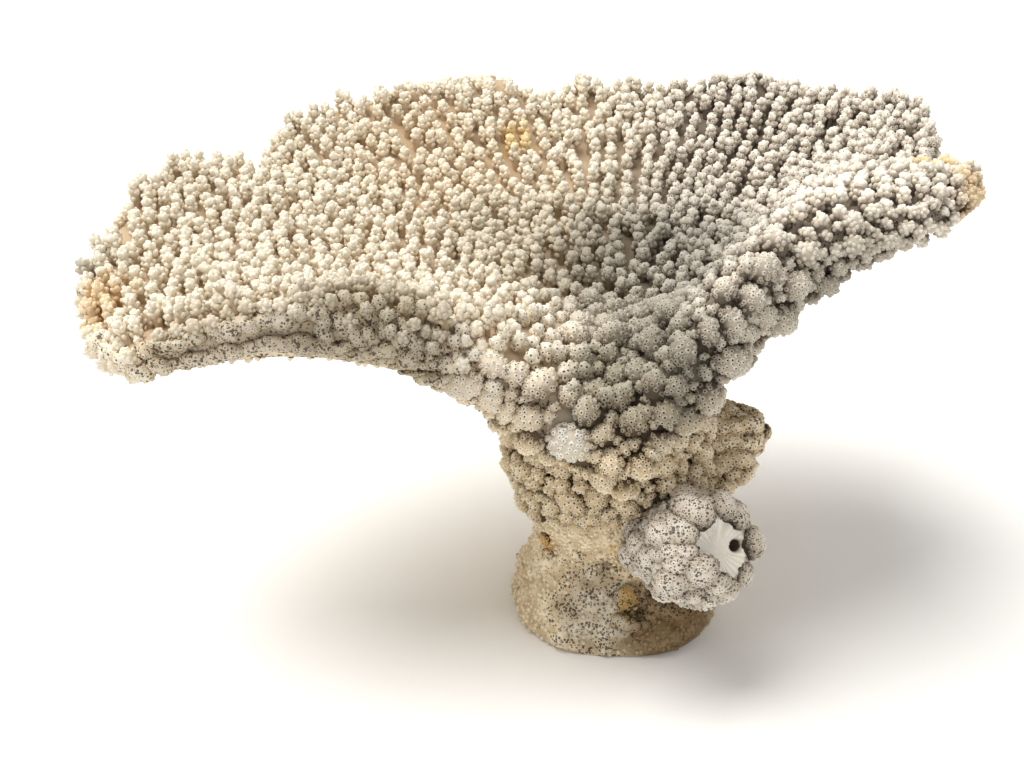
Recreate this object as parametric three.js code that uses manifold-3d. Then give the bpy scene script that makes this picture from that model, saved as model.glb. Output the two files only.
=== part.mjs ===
// A table coral from the staghorn genus: a trunk cut flat at its foot, two short broken branches on the
// trunk's right, and a bowl-shaped table that spreads in three fans, open towards the front.
//
// Millimetres, +Z up. The origin is the centre of the cut foot, and the open front faces -Y.
// Azimuths are degrees round the trunk: 0 is +X, 90 the back, 180 the left and 270 the front.

import * as THREE from "three";
import { mergeVertices } from "three/addons/utils/BufferGeometryUtils.js";
import Module from "manifold-3d";

// Driving dimensions

const THROAT_HEIGHT = 129; // the floor of the bowl, above the trunk's middle
const FORK_RADIUS = 44; // where the fans leave the trunk
const FORK_HEIGHT = 80; // below it everything is trunk
const FORK_GAP = 0.3; // the hairline between two pieces that meet at a fork
const NECK_START = 40; // where the foot starts to turn into the neck
const NECK_TOP = 84;
const SMOOTH_TOP = 50; // below it the foot is smooth, above it the trunk is covered in knobs

const LIP_CURVE = 2.6; // how the bowl's floor runs down over the front lip
const FLOOR_CURVE = 1.5; // and how it climbs to a fan
const ROOT_TAPER = 1.2; // how quickly a fan thins out from the trunk
const RIM_BULGE = 0.32; // how far the rounded rim stands out, as a share of its thickness
const RIM_BULGE_LIMIT = 5;

const BRANCHLET_PITCH = 7.6; // between corners of the skin that carries branchlets
const KNOB_PITCH = 6.6; // the same on the trunk's sides
const UNDERSIDE_PITCH = 19; // across the plain underside
const BRANCHLET_HEIGHT = [8, 12.5]; // the shortest and the tallest
const KNOB_HEIGHT = [3.2, 5.6];
const BRANCHLET_SPACING = 8.8; // the least between two branchlets
const KNOB_SPACING = 7.4;
const BRANCHLET_UPRIGHT = 0.6; // how much a branchlet turns from the skin's normal towards upright
const KNOB_UPRIGHT = 0.25;
const RING_SHAPE = 0.35; // how much the bowl's inner rings take from the rim's outline
const ROW_STEP = 0.87; // from one row to the next, as a share of the pitch along the row
const LEAN_AT_THROAT = 0.3; // how far a branchlet leans outwards for each step up
const LEAN_AT_RIM = 1;

// The table, one row for each azimuth: the rim's radius, the skin's height at the fork's radius, half way
// out and at the rim, the rim's thickness, and the height where the underside meets the trunk. The rim
// has its notches and tips here.
const TABLE = [
  [-70, 42, 136, 136, 136, 27, 100],
  [-48, 45, 153, 154, 155, 31, 113],
  [-28, 51, 163, 165, 168, 32, 124],
  [-14, 62, 164, 170, 173, 28, 128],
  [-6, 78, 161, 173, 176, 20, 127],
  [0, 99, 160, 175, 177, 13, 123],
  [5, 118, 159, 176, 178, 10, 118],
  [10, 133, 157, 177, 180, 9, 113],
  [17, 147, 154, 175, 179, 8, 109],
  [24, 149, 151, 172, 173, 8, 106],
  [30, 152, 149, 169, 169, 8, 103],
  [36, 176, 146, 166, 178, 8, 100],
  [42, 192, 143, 163, 184, 8, 99],
  [54, 191, 139, 155, 186, 8, 95],
  [60, 186, 138, 152, 184, 8, 93],
  [65, 194, 138, 152, 191, 8, 92],
  [71, 188, 138, 152, 188, 8, 92],
  [77, 180, 138, 152, 183, 8, 91],
  [86, 176, 138, 152, 183, 8, 90],
  [94, 174, 138, 152, 184, 8, 90],
  [100, 164, 138, 152, 176, 8, 90],
  [106, 176, 138, 152, 192, 8, 90],
  [116, 180, 138, 152, 190, 8, 90],
  [127, 182, 137, 152, 185, 8, 91],
  [139, 190, 137, 151, 178, 8, 92],
  [148, 180, 136, 149, 163, 8, 93],
  [156, 205, 136, 149, 170, 8, 94],
  [166, 208, 136, 148, 158, 8, 95],
  [175, 208, 137, 147, 147, 8, 96],
  [184, 198, 137, 148, 136, 9, 98],
  [190, 182, 137, 150, 138, 11, 99],
  [193, 160, 137, 150, 146, 13, 100],
  [196, 130, 136, 149, 155, 16, 102],
  [200, 100, 135, 147, 154, 20, 103],
  [207, 74, 133, 141, 146, 24, 101],
  [218, 56, 129, 132, 133, 26, 96],
  [234, 46, 121, 122, 122, 25, 91],
  [252, 42, 113, 113, 113, 24, 87],
  [272, 39, 111, 111, 111, 24, 86],
];

// The trunk's radius at the foot and at the neck, just under the bowl. Then what it adds to the foot's
// radius at each height.
const TRUNK = [
  [0, 43, 35],
  [45, 47, 39],
  [90, 52, 41],
  [135, 48, 41],
  [180, 42, 41],
  [225, 37, 41],
  [270, 33, 39],
  [315, 38, 36],
];
const FOOT_RINGS = [0, 4, 12, 22, 32, 41]; // heights
const FOOT_PITCH = 10; // between corners round the smooth foot
const NECK_PITCH = 7.2; // the same round the knobbly neck
const TRUNK_PROFILE = [
  [0, -1],
  [5, 0.5],
  [12, -1],
  [24, -6],
  [38, -10],
  [56, -7],
  [84, -3],
];

// The rings of the rounded rim: the angle up from its outermost line, and how many branchlet pitches apart
// its corners stand.
const RIM_RINGS = [
  [-90, 2],
  [-30, 1],
  [15, 1],
  [50, 1],
];
const BARE_RIM = -45; // below this angle the rim carries no knobs

// The fans: each takes the table between two azimuths.
const FANS = [
  { name: "right_fan", from: -62, to: 82 },
  { name: "middle_fan", from: 82, to: 127 },
  { name: "left_fan", from: 127, to: 238 },
];

// The short broken branches: the way each points, its own branches, each with a start inside the trunk, a
// length and a radius, and how far from the first one's start it forks from the trunk.
const STUBS = [
  {
    name: "front_stub",
    towards: [0.47, -0.81, 0.4],
    fork: 39,
    profile: [[0, 0.7], [0.45, 0.8], [0.62, 0.95], [0.82, 1], [0.95, 0.86], [1, 0.55]],
    branches: [{ start: [3, -6, 41], length: 67, radius: 22 }],
  },
  {
    name: "side_stub",
    towards: [0.97, -0.12, 0.12],
    fork: 33,
    profile: [[0, 1], [0.6, 1], [0.85, 0.95], [0.96, 0.7], [1, 0.4]],
    branches: [
      { start: [6, -4, 86], length: 54, radius: 9 },
      { start: [6, -8, 75], length: 50, radius: 8 },
      { start: [6, -2, 64], length: 43, radius: 7 },
    ],
  },
];

const STUB_BARE = 2; // the length beyond its fork that carries no knobs
const STUB_LEAN = 0.4; // how far a stub's knobs lean along it for each step out
const BEYOND_RIM = 300; // a reach that clears the whole coral

const wasm = await Module();
wasm.setup();

// A repeatable number from 0 to 1.
function chance(seed) {
  const wave = Math.sin(seed * 12.9898 + 1.7) * 43758.5453;
  return wave - Math.floor(wave);
}

function polar(azimuth, radius, height) {
  const turn = THREE.MathUtils.degToRad(azimuth);
  return new THREE.Vector3(radius * Math.cos(turn), radius * Math.sin(turn), height);
}

function stepsIn(length, pitch) {
  return Math.max(3, Math.round(length / pitch));
}

// The cubic between the middle two of four rows of a table, with slopes taken from their neighbours.
function throughRows(before, from, to, after, where) {
  const span = to[0] - from[0];
  const share = (where - from[0]) / span;
  const square = share * share;
  const cube = square * share;
  return from.slice(1).map((value, i) => {
    const next = to[i + 1];
    const slopeIn = ((next - before[i + 1]) / (to[0] - before[0])) * span;
    const slopeOut = ((after[i + 1] - value) / (after[0] - from[0])) * span;
    return (
      value * (2 * cube - 3 * square + 1) +
      slopeIn * (cube - 2 * square + share) +
      next * (3 * square - 2 * cube) +
      slopeOut * (cube - square)
    );
  });
}

// The values at an azimuth of a table whose rows go round the full circle.
function around(table, azimuth) {
  const count = table.length;
  const turned = table[0][0] + THREE.MathUtils.euclideanModulo(azimuth - table[0][0], 360);
  const found = table.findLastIndex((row) => row[0] <= turned);
  const rowAt = (i) => {
    const turns = Math.floor(i / count);
    const row = table[i - turns * count];
    return [row[0] + 360 * turns, ...row.slice(1)];
  };
  return throughRows(rowAt(found - 1), rowAt(found), rowAt(found + 1), rowAt(found + 2), turned);
}

// The value of a table that starts and ends.
function along(table, where) {
  const last = table.length - 1;
  const held = THREE.MathUtils.clamp(where, table[0][0], table[last][0]);
  const found = Math.min(table.findLastIndex((row) => row[0] <= held), last - 1);
  const before = table[Math.max(found - 1, 0)];
  const after = table[Math.min(found + 2, last)];
  return throughRows(before, table[found], table[found + 1], after, held)[0];
}

// The form of the table and the trunk

function tableAt(azimuth) {
  const [rim, atFork, halfWay, atRim, rimThickness, underFork] = around(TABLE, azimuth);
  return { rim, atFork, halfWay, atRim, rimThickness, underFork };
}

// Height of the bowl's skin.
function topHeight(azimuth, radius) {
  const { rim, atFork, halfWay, atRim } = tableAt(azimuth);
  if (radius <= FORK_RADIUS) {
    const curve = atFork < THROAT_HEIGHT ? LIP_CURVE : FLOOR_CURVE;
    return THROAT_HEIGHT + (atFork - THROAT_HEIGHT) * (radius / FORK_RADIUS) ** curve;
  }
  const share = (radius - FORK_RADIUS) / (rim - FORK_RADIUS);
  return along([[0, atFork], [0.5, halfWay], [1, atRim]], share);
}

// Height of the underside, from the neck out to the rim.
function undersideHeight(azimuth, share) {
  const { rim, rimThickness, underFork } = tableAt(azimuth);
  const neck = neckRadius(azimuth);
  const rootThickness = topHeight(azimuth, neck) - underFork;
  const thickness = rimThickness + (rootThickness - rimThickness) * (1 - share) ** ROOT_TAPER;
  return topHeight(azimuth, THREE.MathUtils.lerp(neck, rim, share)) - thickness;
}

// Which way the rim faces, seen from above.
function rimNormal(azimuth) {
  const step = 0.5;
  const before = polar(azimuth - step, tableAt(azimuth - step).rim, 0);
  const after = polar(azimuth + step, tableAt(azimuth + step).rim, 0);
  const run = after.sub(before).normalize();
  return new THREE.Vector3(run.y, -run.x, 0);
}

function neckRadius(azimuth) {
  return around(TRUNK, azimuth)[1];
}

// The radius of the trunk's side.
function trunkRadius(azimuth, height) {
  const foot = around(TRUNK, azimuth)[0] + along(TRUNK_PROFILE, height);
  const turned = THREE.MathUtils.smoothstep(height, NECK_START, NECK_TOP);
  return THREE.MathUtils.lerp(foot, neckRadius(azimuth), turned);
}

// The length of the rim from the table's first row to each of many azimuths.
function measureRim() {
  const steps = 1440;
  const first = TABLE[0][0];
  const marks = [{ azimuth: first, length: 0 }];
  let last = polar(first, tableAt(first).rim, 0);
  for (let i = 1; i <= steps; i += 1) {
    const azimuth = first + (i * 360) / steps;
    const next = polar(azimuth, tableAt(azimuth).rim, 0);
    marks.push({ azimuth, length: marks[i - 1].length + next.distanceTo(last) });
    last = next;
  }
  return marks;
}

const RIM_MARKS = measureRim();
const RIM_LENGTH = RIM_MARKS.at(-1).length;
const LONGEST_RIM = Math.max(...TABLE.map(([, rim]) => rim));

// Azimuths at equal steps along the rim, so that its long straight edges get their share of corners.
function rimAzimuths(count, offset) {
  return Array.from({ length: count }, (_, i) => {
    const wanted = (RIM_LENGTH * (i + offset)) / count;
    const found = RIM_MARKS.findLastIndex((mark) => mark.length <= wanted);
    const [from, to] = [RIM_MARKS[found], RIM_MARKS[found + 1]];
    const share = (wanted - from.length) / (to.length - from.length);
    return THREE.MathUtils.lerp(from.azimuth, to.azimuth, share);
  });
}

function evenAzimuths(count, offset) {
  return Array.from({ length: count }, (_, i) => TABLE[0][0] + ((i + offset) * 360) / count);
}

// Skins

// A closed skin built from rings, lowest first. Some of its corners are raised into branchlets or knobs.
class Skin {
  constructor() {
    this.corners = [];
    this.growths = [];
    this.triangles = [];
    this.rings = [];
  }

  add(corner, growth) {
    this.corners.push(corner);
    this.growths.push(growth);
    return this.corners.length - 1;
  }

  // A ring of corners, each with what may grow from it, joined to the ring before it.
  ring(azimuths, cornerAt, growthAt = () => null) {
    const ids = azimuths.map((azimuth) => {
      const corner = cornerAt(azimuth);
      return this.add(corner, growthAt(azimuth, corner));
    });
    const ring = { azimuths: [...azimuths, azimuths[0] + 360], ids: [...ids, ids[0]] };
    if (this.rings.length > 0) this.join(this.rings.at(-1), ring);
    this.rings.push(ring);
  }

  // The triangles between two rings that may hold different numbers of corners.
  join(lower, upper) {
    const lowerEnd = lower.ids.length - 1;
    const upperEnd = upper.ids.length - 1;
    let i = 0;
    let j = 0;
    while (i < lowerEnd || j < upperEnd) {
      const alongLower = j === upperEnd || (i < lowerEnd && lower.azimuths[i + 1] <= upper.azimuths[j + 1]);
      if (alongLower) {
        this.triangles.push([lower.ids[i], lower.ids[i + 1], upper.ids[j]]);
        i += 1;
      } else {
        this.triangles.push([lower.ids[i], upper.ids[j + 1], upper.ids[j]]);
        j += 1;
      }
    }
  }

  // Closes the first and the last ring, each with a corner in its middle.
  close(firstMiddle, lastMiddle) {
    this.closeRing(this.rings[0].ids.toReversed(), firstMiddle);
    this.closeRing(this.rings.at(-1).ids, lastMiddle);
  }

  closeRing(ids, middle) {
    const id = this.add(middle, null);
    for (let i = 1; i < ids.length; i += 1) this.triangles.push([ids[i - 1], ids[i], id]);
  }

  // Raises corners that stand clear of each other.
  grow() {
    const neighbours = this.corners.map(() => []);
    for (const [a, b, c] of this.triangles) {
      neighbours[a].push(b, c);
      neighbours[b].push(a, c);
      neighbours[c].push(a, b);
    }
    const feet = new Map();
    this.growths.forEach((growth, i) => {
      if (!growth || neighbours[i].some((n) => feet.has(n))) return;
      const foot = this.corners[i].clone();
      if ([...feet.values()].some((other) => other.distanceTo(foot) < growth.spacing)) return;
      feet.set(i, foot);
      this.corners[i].add(growth.reach);
    });
  }

  solid() {
    const geometry = new THREE.BufferGeometry();
    const numbers = this.corners.flatMap((corner) => corner.toArray());
    geometry.setAttribute("position", new THREE.Float32BufferAttribute(numbers, 3));
    geometry.setIndex(this.triangles.flat());
    return solidOf(geometry);
  }
}

function growth(corner, normal, upright, heights, spacing) {
  const direction = normal.clone().lerp(new THREE.Vector3(0, 0, 1), upright).normalize();
  const share = chance(corner.x + 2.3 * corner.y + 5.1 * corner.z);
  return { spacing, reach: direction.multiplyScalar(THREE.MathUtils.lerp(...heights, share)) };
}

function branchlet(corner, lean) {
  return growth(corner, lean, BRANCHLET_UPRIGHT, BRANCHLET_HEIGHT, BRANCHLET_SPACING);
}

function knob(corner, normal, upright = KNOB_UPRIGHT) {
  return growth(corner, normal, upright, KNOB_HEIGHT, KNOB_SPACING);
}

// The whole skeleton but for its stubs: up the trunk, out under the table, round its rim and back over
// the bowl to the throat.
function makeSkeleton() {
  const skin = new Skin();
  addFoot(skin);
  addNeck(skin);
  addUnderside(skin);
  addRim(skin);
  addBowl(skin);
  skin.close(new THREE.Vector3(0, 0, 0), new THREE.Vector3(0, 0, THROAT_HEIGHT));
  skin.grow();
  return skin.solid();
}

function addFoot(skin) {
  const count = stepsIn(2 * Math.PI * FORK_RADIUS, FOOT_PITCH);
  for (const height of FOOT_RINGS) {
    skin.ring(evenAzimuths(count, 0), (azimuth) => polar(azimuth, trunkRadius(azimuth, height), height));
  }
}

function addNeck(skin) {
  const count = stepsIn(2 * Math.PI * FORK_RADIUS, NECK_PITCH);
  const rings = stepsIn(NECK_TOP - SMOOTH_TOP, ROW_STEP * KNOB_PITCH);
  for (let k = 0; k < rings; k += 1) {
    skin.ring(
      evenAzimuths(count, (k % 2) / 2),
      (azimuth) => {
        const height = THREE.MathUtils.lerp(SMOOTH_TOP, tableAt(azimuth).underFork, k / rings);
        return polar(azimuth, trunkRadius(azimuth, height), height);
      },
      (azimuth, corner) => knob(corner, polar(azimuth, 1, 0)),
    );
  }
}

function addUnderside(skin) {
  const rings = stepsIn(LONGEST_RIM - FORK_RADIUS, UNDERSIDE_PITCH);
  for (let k = 0; k < rings; k += 1) {
    const share = k / rings;
    const length = THREE.MathUtils.lerp(2 * Math.PI * FORK_RADIUS, RIM_LENGTH, share);
    skin.ring(rimAzimuths(stepsIn(length, UNDERSIDE_PITCH), (k % 2) / 2), (azimuth) => {
      const radius = THREE.MathUtils.lerp(neckRadius(azimuth), tableAt(azimuth).rim, share);
      return polar(azimuth, radius, undersideHeight(azimuth, share));
    });
  }
}

// The rounded rim, from its underside up to its top.
function addRim(skin) {
  for (const [turn, pitch] of RIM_RINGS) {
    const out = Math.cos(THREE.MathUtils.degToRad(turn));
    const up = Math.sin(THREE.MathUtils.degToRad(turn));
    const knobAt = (azimuth, corner) => knob(corner, rimNormal(azimuth).setZ(Math.max(up, 0)));
    skin.ring(
      rimAzimuths(stepsIn(RIM_LENGTH, pitch * BRANCHLET_PITCH), 0),
      (azimuth) => {
        const { rim, atRim, rimThickness } = tableAt(azimuth);
        const bulge = Math.min(RIM_BULGE * rimThickness, RIM_BULGE_LIMIT);
        const corner = polar(azimuth, rim, atRim + (rimThickness / 2) * (up - 1));
        return corner.addScaledVector(rimNormal(azimuth), bulge * out);
      },
      turn < BARE_RIM ? undefined : knobAt,
    );
  }
}

// The bowl, from the rim in to the throat. Towards the rim its branchlets lean outwards.
function addBowl(skin) {
  const rings = stepsIn(LONGEST_RIM, ROW_STEP * BRANCHLET_PITCH);
  for (let k = rings; k > 0; k -= 1) {
    const share = k / rings;
    const lean = THREE.MathUtils.lerp(LEAN_AT_THROAT, LEAN_AT_RIM, share);
    skin.ring(
      bowlAzimuths(share, (k % 2) / 2),
      (azimuth) => {
        const radius = ringRadius(azimuth, share);
        return polar(azimuth, radius, topHeight(azimuth, radius));
      },
      (azimuth, corner) => branchlet(corner, polar(azimuth, lean, 1).normalize()),
    );
  }
}

// The bowl's rings are round near the throat and take the rim's outline further out.
function ringRadius(azimuth, share) {
  const { rim } = tableAt(azimuth);
  const rounder = 1 - (1 - share) ** (LONGEST_RIM / rim);
  return rim * THREE.MathUtils.lerp(rounder, share, RING_SHAPE);
}

function bowlAzimuths(share, offset) {
  const length = share * THREE.MathUtils.lerp(2 * Math.PI * LONGEST_RIM, RIM_LENGTH, Math.sqrt(share));
  const count = stepsIn(length, BRANCHLET_PITCH);
  const even = evenAzimuths(count, offset);
  return rimAzimuths(count, offset).map((azimuth, i) => THREE.MathUtils.lerp(even[i], azimuth, share));
}

// A short broken branch: the stub beyond its fork, the root that stays with the trunk, and the room that
// the trunk leaves round the stub.
function makeStub(stub) {
  const direction = new THREE.Vector3(...stub.towards).normalize();
  const fork = direction.dot(new THREE.Vector3(...stub.branches[0].start)) + stub.fork;
  const joined = (wider) =>
    stub.branches
      .map((branch) => makeStubBranch(branch, direction, fork, stub.profile, wider))
      .reduce((solid, next) => solid.add(next));
  const solid = joined(0);
  const outer = solid.trimByPlane(direction.toArray(), fork + FORK_GAP);
  const root = solid.trimByPlane(direction.clone().negate().toArray(), -fork);
  const room = joined(KNOB_HEIGHT[1] + FORK_GAP).trimByPlane(direction.toArray(), fork);
  return { outer, root, room };
}

// Rings along the branch's own line, with a flat broken end and knobbly sides, or plain ones if wider.
function makeStubBranch({ start, length, radius }, direction, fork, profile, wider) {
  const turn = new THREE.Quaternion().setFromUnitVectors(new THREE.Vector3(0, 0, 1), direction);
  const origin = new THREE.Vector3(...start);
  const at = (azimuth, width, distance) => polar(azimuth, width, distance).applyQuaternion(turn).add(origin);
  const skin = new Skin();
  const rings = stepsIn(length, KNOB_PITCH);
  const count = stepsIn(2 * Math.PI * radius, KNOB_PITCH);
  for (let k = 0; k <= rings; k += 1) {
    const distance = (length * k) / rings;
    const bare = wider > 0 || direction.dot(at(0, 0, distance)) < fork + STUB_BARE || k === rings;
    const knobAt = (azimuth, corner) => knob(corner, polar(azimuth, 1, STUB_LEAN).applyQuaternion(turn), 0);
    skin.ring(
      evenAzimuths(count, (k % 2) / 2),
      (azimuth) => at(azimuth, along(profile, k / rings) * radius + wider, distance),
      bare ? undefined : knobAt,
    );
  }
  skin.close(at(0, 0, 0), at(0, 0, length));
  skin.grow();
  return skin.solid();
}

// Forks

// The room that the fans take: outside the fork's radius, between two azimuths, above the fork's height.
function fanRoom(from, to, gap) {
  const [start, end] = [from, to].map(THREE.MathUtils.degToRad);
  const outline = new THREE.Shape();
  outline.absarc(0, 0, BEYOND_RIM, start, end, false);
  outline.absarc(0, 0, FORK_RADIUS + gap, end, start, true);
  outline.closePath();
  const room = new THREE.ExtrudeGeometry(outline, {
    depth: BEYOND_RIM,
    bevelEnabled: false,
    curveSegments: 30,
  });
  room.translate(0, 0, FORK_HEIGHT + gap);
  room.deleteAttribute("normal");
  room.deleteAttribute("uv");
  return solidOf(room);
}

// The part of the fans between two upright planes through the trunk's middle line, less the hairline.
function fanBetween(fans, from, to) {
  const start = polar(from + 90, 1, 0).toArray();
  const end = polar(to - 90, 1, 0).toArray();
  return fans.trimByPlane(start, FORK_GAP / 2).trimByPlane(end, FORK_GAP / 2);
}

function solidOf(geometry) {
  const merged = mergeVertices(geometry, 1e-4);
  return new wasm.Manifold(
    new wasm.Mesh({
      numProp: 3,
      vertProperties: merged.attributes.position.array,
      triVerts: new Uint32Array(merged.index.array),
    }),
  );
}

// The geometry of a solid's largest body: the rest are crumbs of branchlets that lean over a fork.
function geometryOf(solid) {
  const body = solid.decompose().toSorted((a, b) => b.volume() - a.volume())[0];
  const { vertProperties, triVerts } = body.getMesh();
  const geometry = new THREE.BufferGeometry();
  geometry.setAttribute("position", new THREE.BufferAttribute(vertProperties, 3));
  geometry.setIndex(new THREE.BufferAttribute(triVerts, 1));
  return geometry;
}

const coral = new THREE.Group();

function place(name, solid, color) {
  const material = new THREE.MeshStandardMaterial({ color, roughness: 0.9, metalness: 0 });
  const mesh = new THREE.Mesh(geometryOf(solid), material);
  mesh.name = name;
  coral.add(mesh);
}

const skeleton = makeSkeleton();
const fanRange = [FANS[0].from, FANS.at(-1).to];
const fans = skeleton.intersect(fanRoom(...fanRange, FORK_GAP));
let trunk = skeleton.subtract(fanRoom(...fanRange, 0));
for (const stub of STUBS) {
  const { outer, root, room } = makeStub(stub);
  trunk = trunk.subtract(room).add(root);
  place(stub.name, outer, 0xd8d0c2);
}
place("trunk", trunk, 0xcbb68f);
for (const fan of FANS) place(fan.name, fanBetween(fans, fan.from, fan.to), 0xe6dcc6);

export default coral;
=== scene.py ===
import itertools
import math

import bpy
import numpy as np
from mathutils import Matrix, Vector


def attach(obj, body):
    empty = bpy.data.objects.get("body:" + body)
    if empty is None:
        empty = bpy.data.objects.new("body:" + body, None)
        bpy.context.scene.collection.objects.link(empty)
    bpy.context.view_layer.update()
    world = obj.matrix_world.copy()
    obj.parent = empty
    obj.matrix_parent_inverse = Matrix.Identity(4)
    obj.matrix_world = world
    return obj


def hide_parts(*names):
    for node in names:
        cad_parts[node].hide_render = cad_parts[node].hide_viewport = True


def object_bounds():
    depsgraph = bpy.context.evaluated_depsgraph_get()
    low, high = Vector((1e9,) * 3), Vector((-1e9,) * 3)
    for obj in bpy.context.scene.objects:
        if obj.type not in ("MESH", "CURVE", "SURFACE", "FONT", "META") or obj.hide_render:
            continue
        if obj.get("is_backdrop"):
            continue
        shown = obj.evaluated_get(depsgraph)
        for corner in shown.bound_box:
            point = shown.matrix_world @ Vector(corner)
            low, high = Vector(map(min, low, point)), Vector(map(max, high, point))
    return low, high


# A table coral from the staghorn genus, dried and cleaned: every branchlet, knob and cup of its skeleton.
#
# Forms are worked out in millimetres, +Z up, from the centre of the cut foot, and become metres when a mesh
# is made. Azimuths are degrees round the trunk: 0 is +X, 90 the back, 180 the left and 270 the front.

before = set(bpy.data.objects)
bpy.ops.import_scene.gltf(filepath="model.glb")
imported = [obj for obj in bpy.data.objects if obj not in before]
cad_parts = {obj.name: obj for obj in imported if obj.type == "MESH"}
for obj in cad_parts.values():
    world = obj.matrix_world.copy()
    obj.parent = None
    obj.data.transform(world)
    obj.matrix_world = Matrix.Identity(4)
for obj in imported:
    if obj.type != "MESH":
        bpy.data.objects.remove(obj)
CAD_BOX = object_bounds()

MM = 0.001
SEED = 8

# Driving dimensions of the table and the trunk, the same as in the solids

THROAT_HEIGHT = 129
FORK_RADIUS = 44
NECK_START = 40
NECK_TOP = 84
LIP_CURVE = 2.6
FLOOR_CURVE = 1.5
ROOT_TAPER = 1.2
RIM_BULGE = 0.32
RIM_BULGE_LIMIT = 5

# Azimuth, the rim's radius, the skin's height at the fork's radius, half way out and at the rim, the rim's
# thickness, and the height where the underside meets the trunk.
TABLE = [
    [-70, 42, 136, 136, 136, 27, 100],
    [-48, 45, 153, 154, 155, 31, 113],
    [-28, 51, 163, 165, 168, 32, 124],
    [-14, 62, 164, 170, 173, 28, 128],
    [-6, 78, 161, 173, 176, 20, 127],
    [0, 99, 160, 175, 177, 13, 123],
    [5, 118, 159, 176, 178, 10, 118],
    [10, 133, 157, 177, 180, 9, 113],
    [17, 147, 154, 175, 179, 8, 109],
    [24, 149, 151, 172, 173, 8, 106],
    [30, 152, 149, 169, 169, 8, 103],
    [36, 176, 146, 166, 178, 8, 100],
    [42, 192, 143, 163, 184, 8, 99],
    [54, 191, 139, 155, 186, 8, 95],
    [60, 186, 138, 152, 184, 8, 93],
    [65, 194, 138, 152, 191, 8, 92],
    [71, 188, 138, 152, 188, 8, 92],
    [77, 180, 138, 152, 183, 8, 91],
    [86, 176, 138, 152, 183, 8, 90],
    [94, 174, 138, 152, 184, 8, 90],
    [100, 164, 138, 152, 176, 8, 90],
    [106, 176, 138, 152, 192, 8, 90],
    [116, 180, 138, 152, 190, 8, 90],
    [127, 182, 137, 152, 185, 8, 91],
    [139, 190, 137, 151, 178, 8, 92],
    [148, 180, 136, 149, 163, 8, 93],
    [156, 205, 136, 149, 170, 8, 94],
    [166, 208, 136, 148, 158, 8, 95],
    [175, 208, 137, 147, 147, 8, 96],
    [184, 198, 137, 148, 136, 9, 98],
    [190, 182, 137, 150, 138, 11, 99],
    [193, 160, 137, 150, 146, 13, 100],
    [196, 130, 136, 149, 155, 16, 102],
    [200, 100, 135, 147, 154, 20, 103],
    [207, 74, 133, 141, 146, 24, 101],
    [218, 56, 129, 132, 133, 26, 96],
    [234, 46, 121, 122, 122, 25, 91],
    [252, 42, 113, 113, 113, 24, 87],
    [272, 39, 111, 111, 111, 24, 86],
]
LONGEST_RIM = max(row[1] for row in TABLE)

# Azimuth, the trunk's radius at the foot and at the neck, and what it adds to the foot's radius by height.
TRUNK = [
    [0, 43, 35],
    [45, 47, 39],
    [90, 52, 41],
    [135, 48, 41],
    [180, 42, 41],
    [225, 37, 41],
    [270, 33, 39],
    [315, 38, 36],
]
TRUNK_PROFILE = [[0, -1], [5, 0.5], [12, -1], [24, -6], [38, -10], [56, -7], [84, -3]]

FANS = {
    "right_fan": (-62, 82),
    "middle_fan": (82, 127),
    "left_fan": (127, 238),
}

# The two stubs: where they point, each branch's start, length and radius, its outline by share of length
# and radius, its skin's columns and rows, and its knobs: the share of the length where they start, their
# widths, their heights as shares of these, and how much longer than wide they are. The branches are a little
# smaller than in the solids, because knobs stand on them.
STUBS = {
    "front_stub": {
        "towards": (0.47, -0.81, 0.4),
        "branches": [((3, -6, 41), 65, 19.5)],
        "profile": [[0, 0.7], [0.45, 0.8], [0.62, 0.95], [0.82, 1], [0.95, 0.86], [1, 0.62]],
        "grid": (96, 34),
        "bare": 0.47,
        "widths": (7, 13),
        "heights": (0.4, 0.6),
        "longer": 1.2,
        "seed": 31,
    },
    "side_stub": {
        "towards": (0.97, -0.12, 0.12),
        "branches": [((6, -4, 86), 48, 8.5), ((6, -8, 75), 45, 7), ((6, -2, 64), 38, 6)],
        "profile": [[0, 1], [0.6, 1], [0.85, 0.95], [0.96, 0.7], [1, 0.4]],
        "grid": (40, 24),
        "bare": 0.6,
        "widths": (5, 8),
        "heights": (0.5, 0.75),
        "longer": 1.35,
        "seed": 41,
    },
}
STUB_SKIN_SEED = 20
LOW_LEFT = (-0.6, 0, -0.8)  # the side of a stub's break that knobs grow over
FLUTES = 31

# The nodes of the solids, each with its slot
SLOTS = {
    "right_fan": "grey_table",
    "middle_fan": "cream_table",
    "left_fan": "cream_table",
    "trunk": "tan_trunk",
    "front_stub": "grey_stub",
    "side_stub": "tan_trunk",
}

# Steps of the skins, and how high a fan's top, rim, underside and rolled edge count for their colour, that
# is how much painted shade they get

FAN_REACH = 150  # a usual distance out, where a fan's columns are a skin step apart
SKIN_STEP = 2.5
SKIN_ROWS = 36
SKIN_OVERLAP = 0.25
FAN_ROOT = FORK_RADIUS - 1.5
WALL_TURN = 75
TRUNK_COLUMNS = 200
FAN_SHADE_LEVELS = (0.03, 0.15, 0.5)
RIDGE_SHADE_LEVEL = 0.4

# Branchlets, knobs and cups

ROW_PITCH = 6.3  # between two rows of branchlets near where a new row starts
STEP_PITCH = 7.6  # along a row
BRANCHLET_HEIGHT = (8.5, 12.5)
BRANCHLET_WIDTH = (5.8, 8.8)
CUP_RADIUS = 1.2
CUP_SPACING = 2.25
SUNK = 1.5  # how deep a branchlet's foot goes into the skin
CUP_SIDES = 5
BODY_SIDES = 7

SPIN = 6.28  # a full turn, near enough for a random spin
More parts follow.
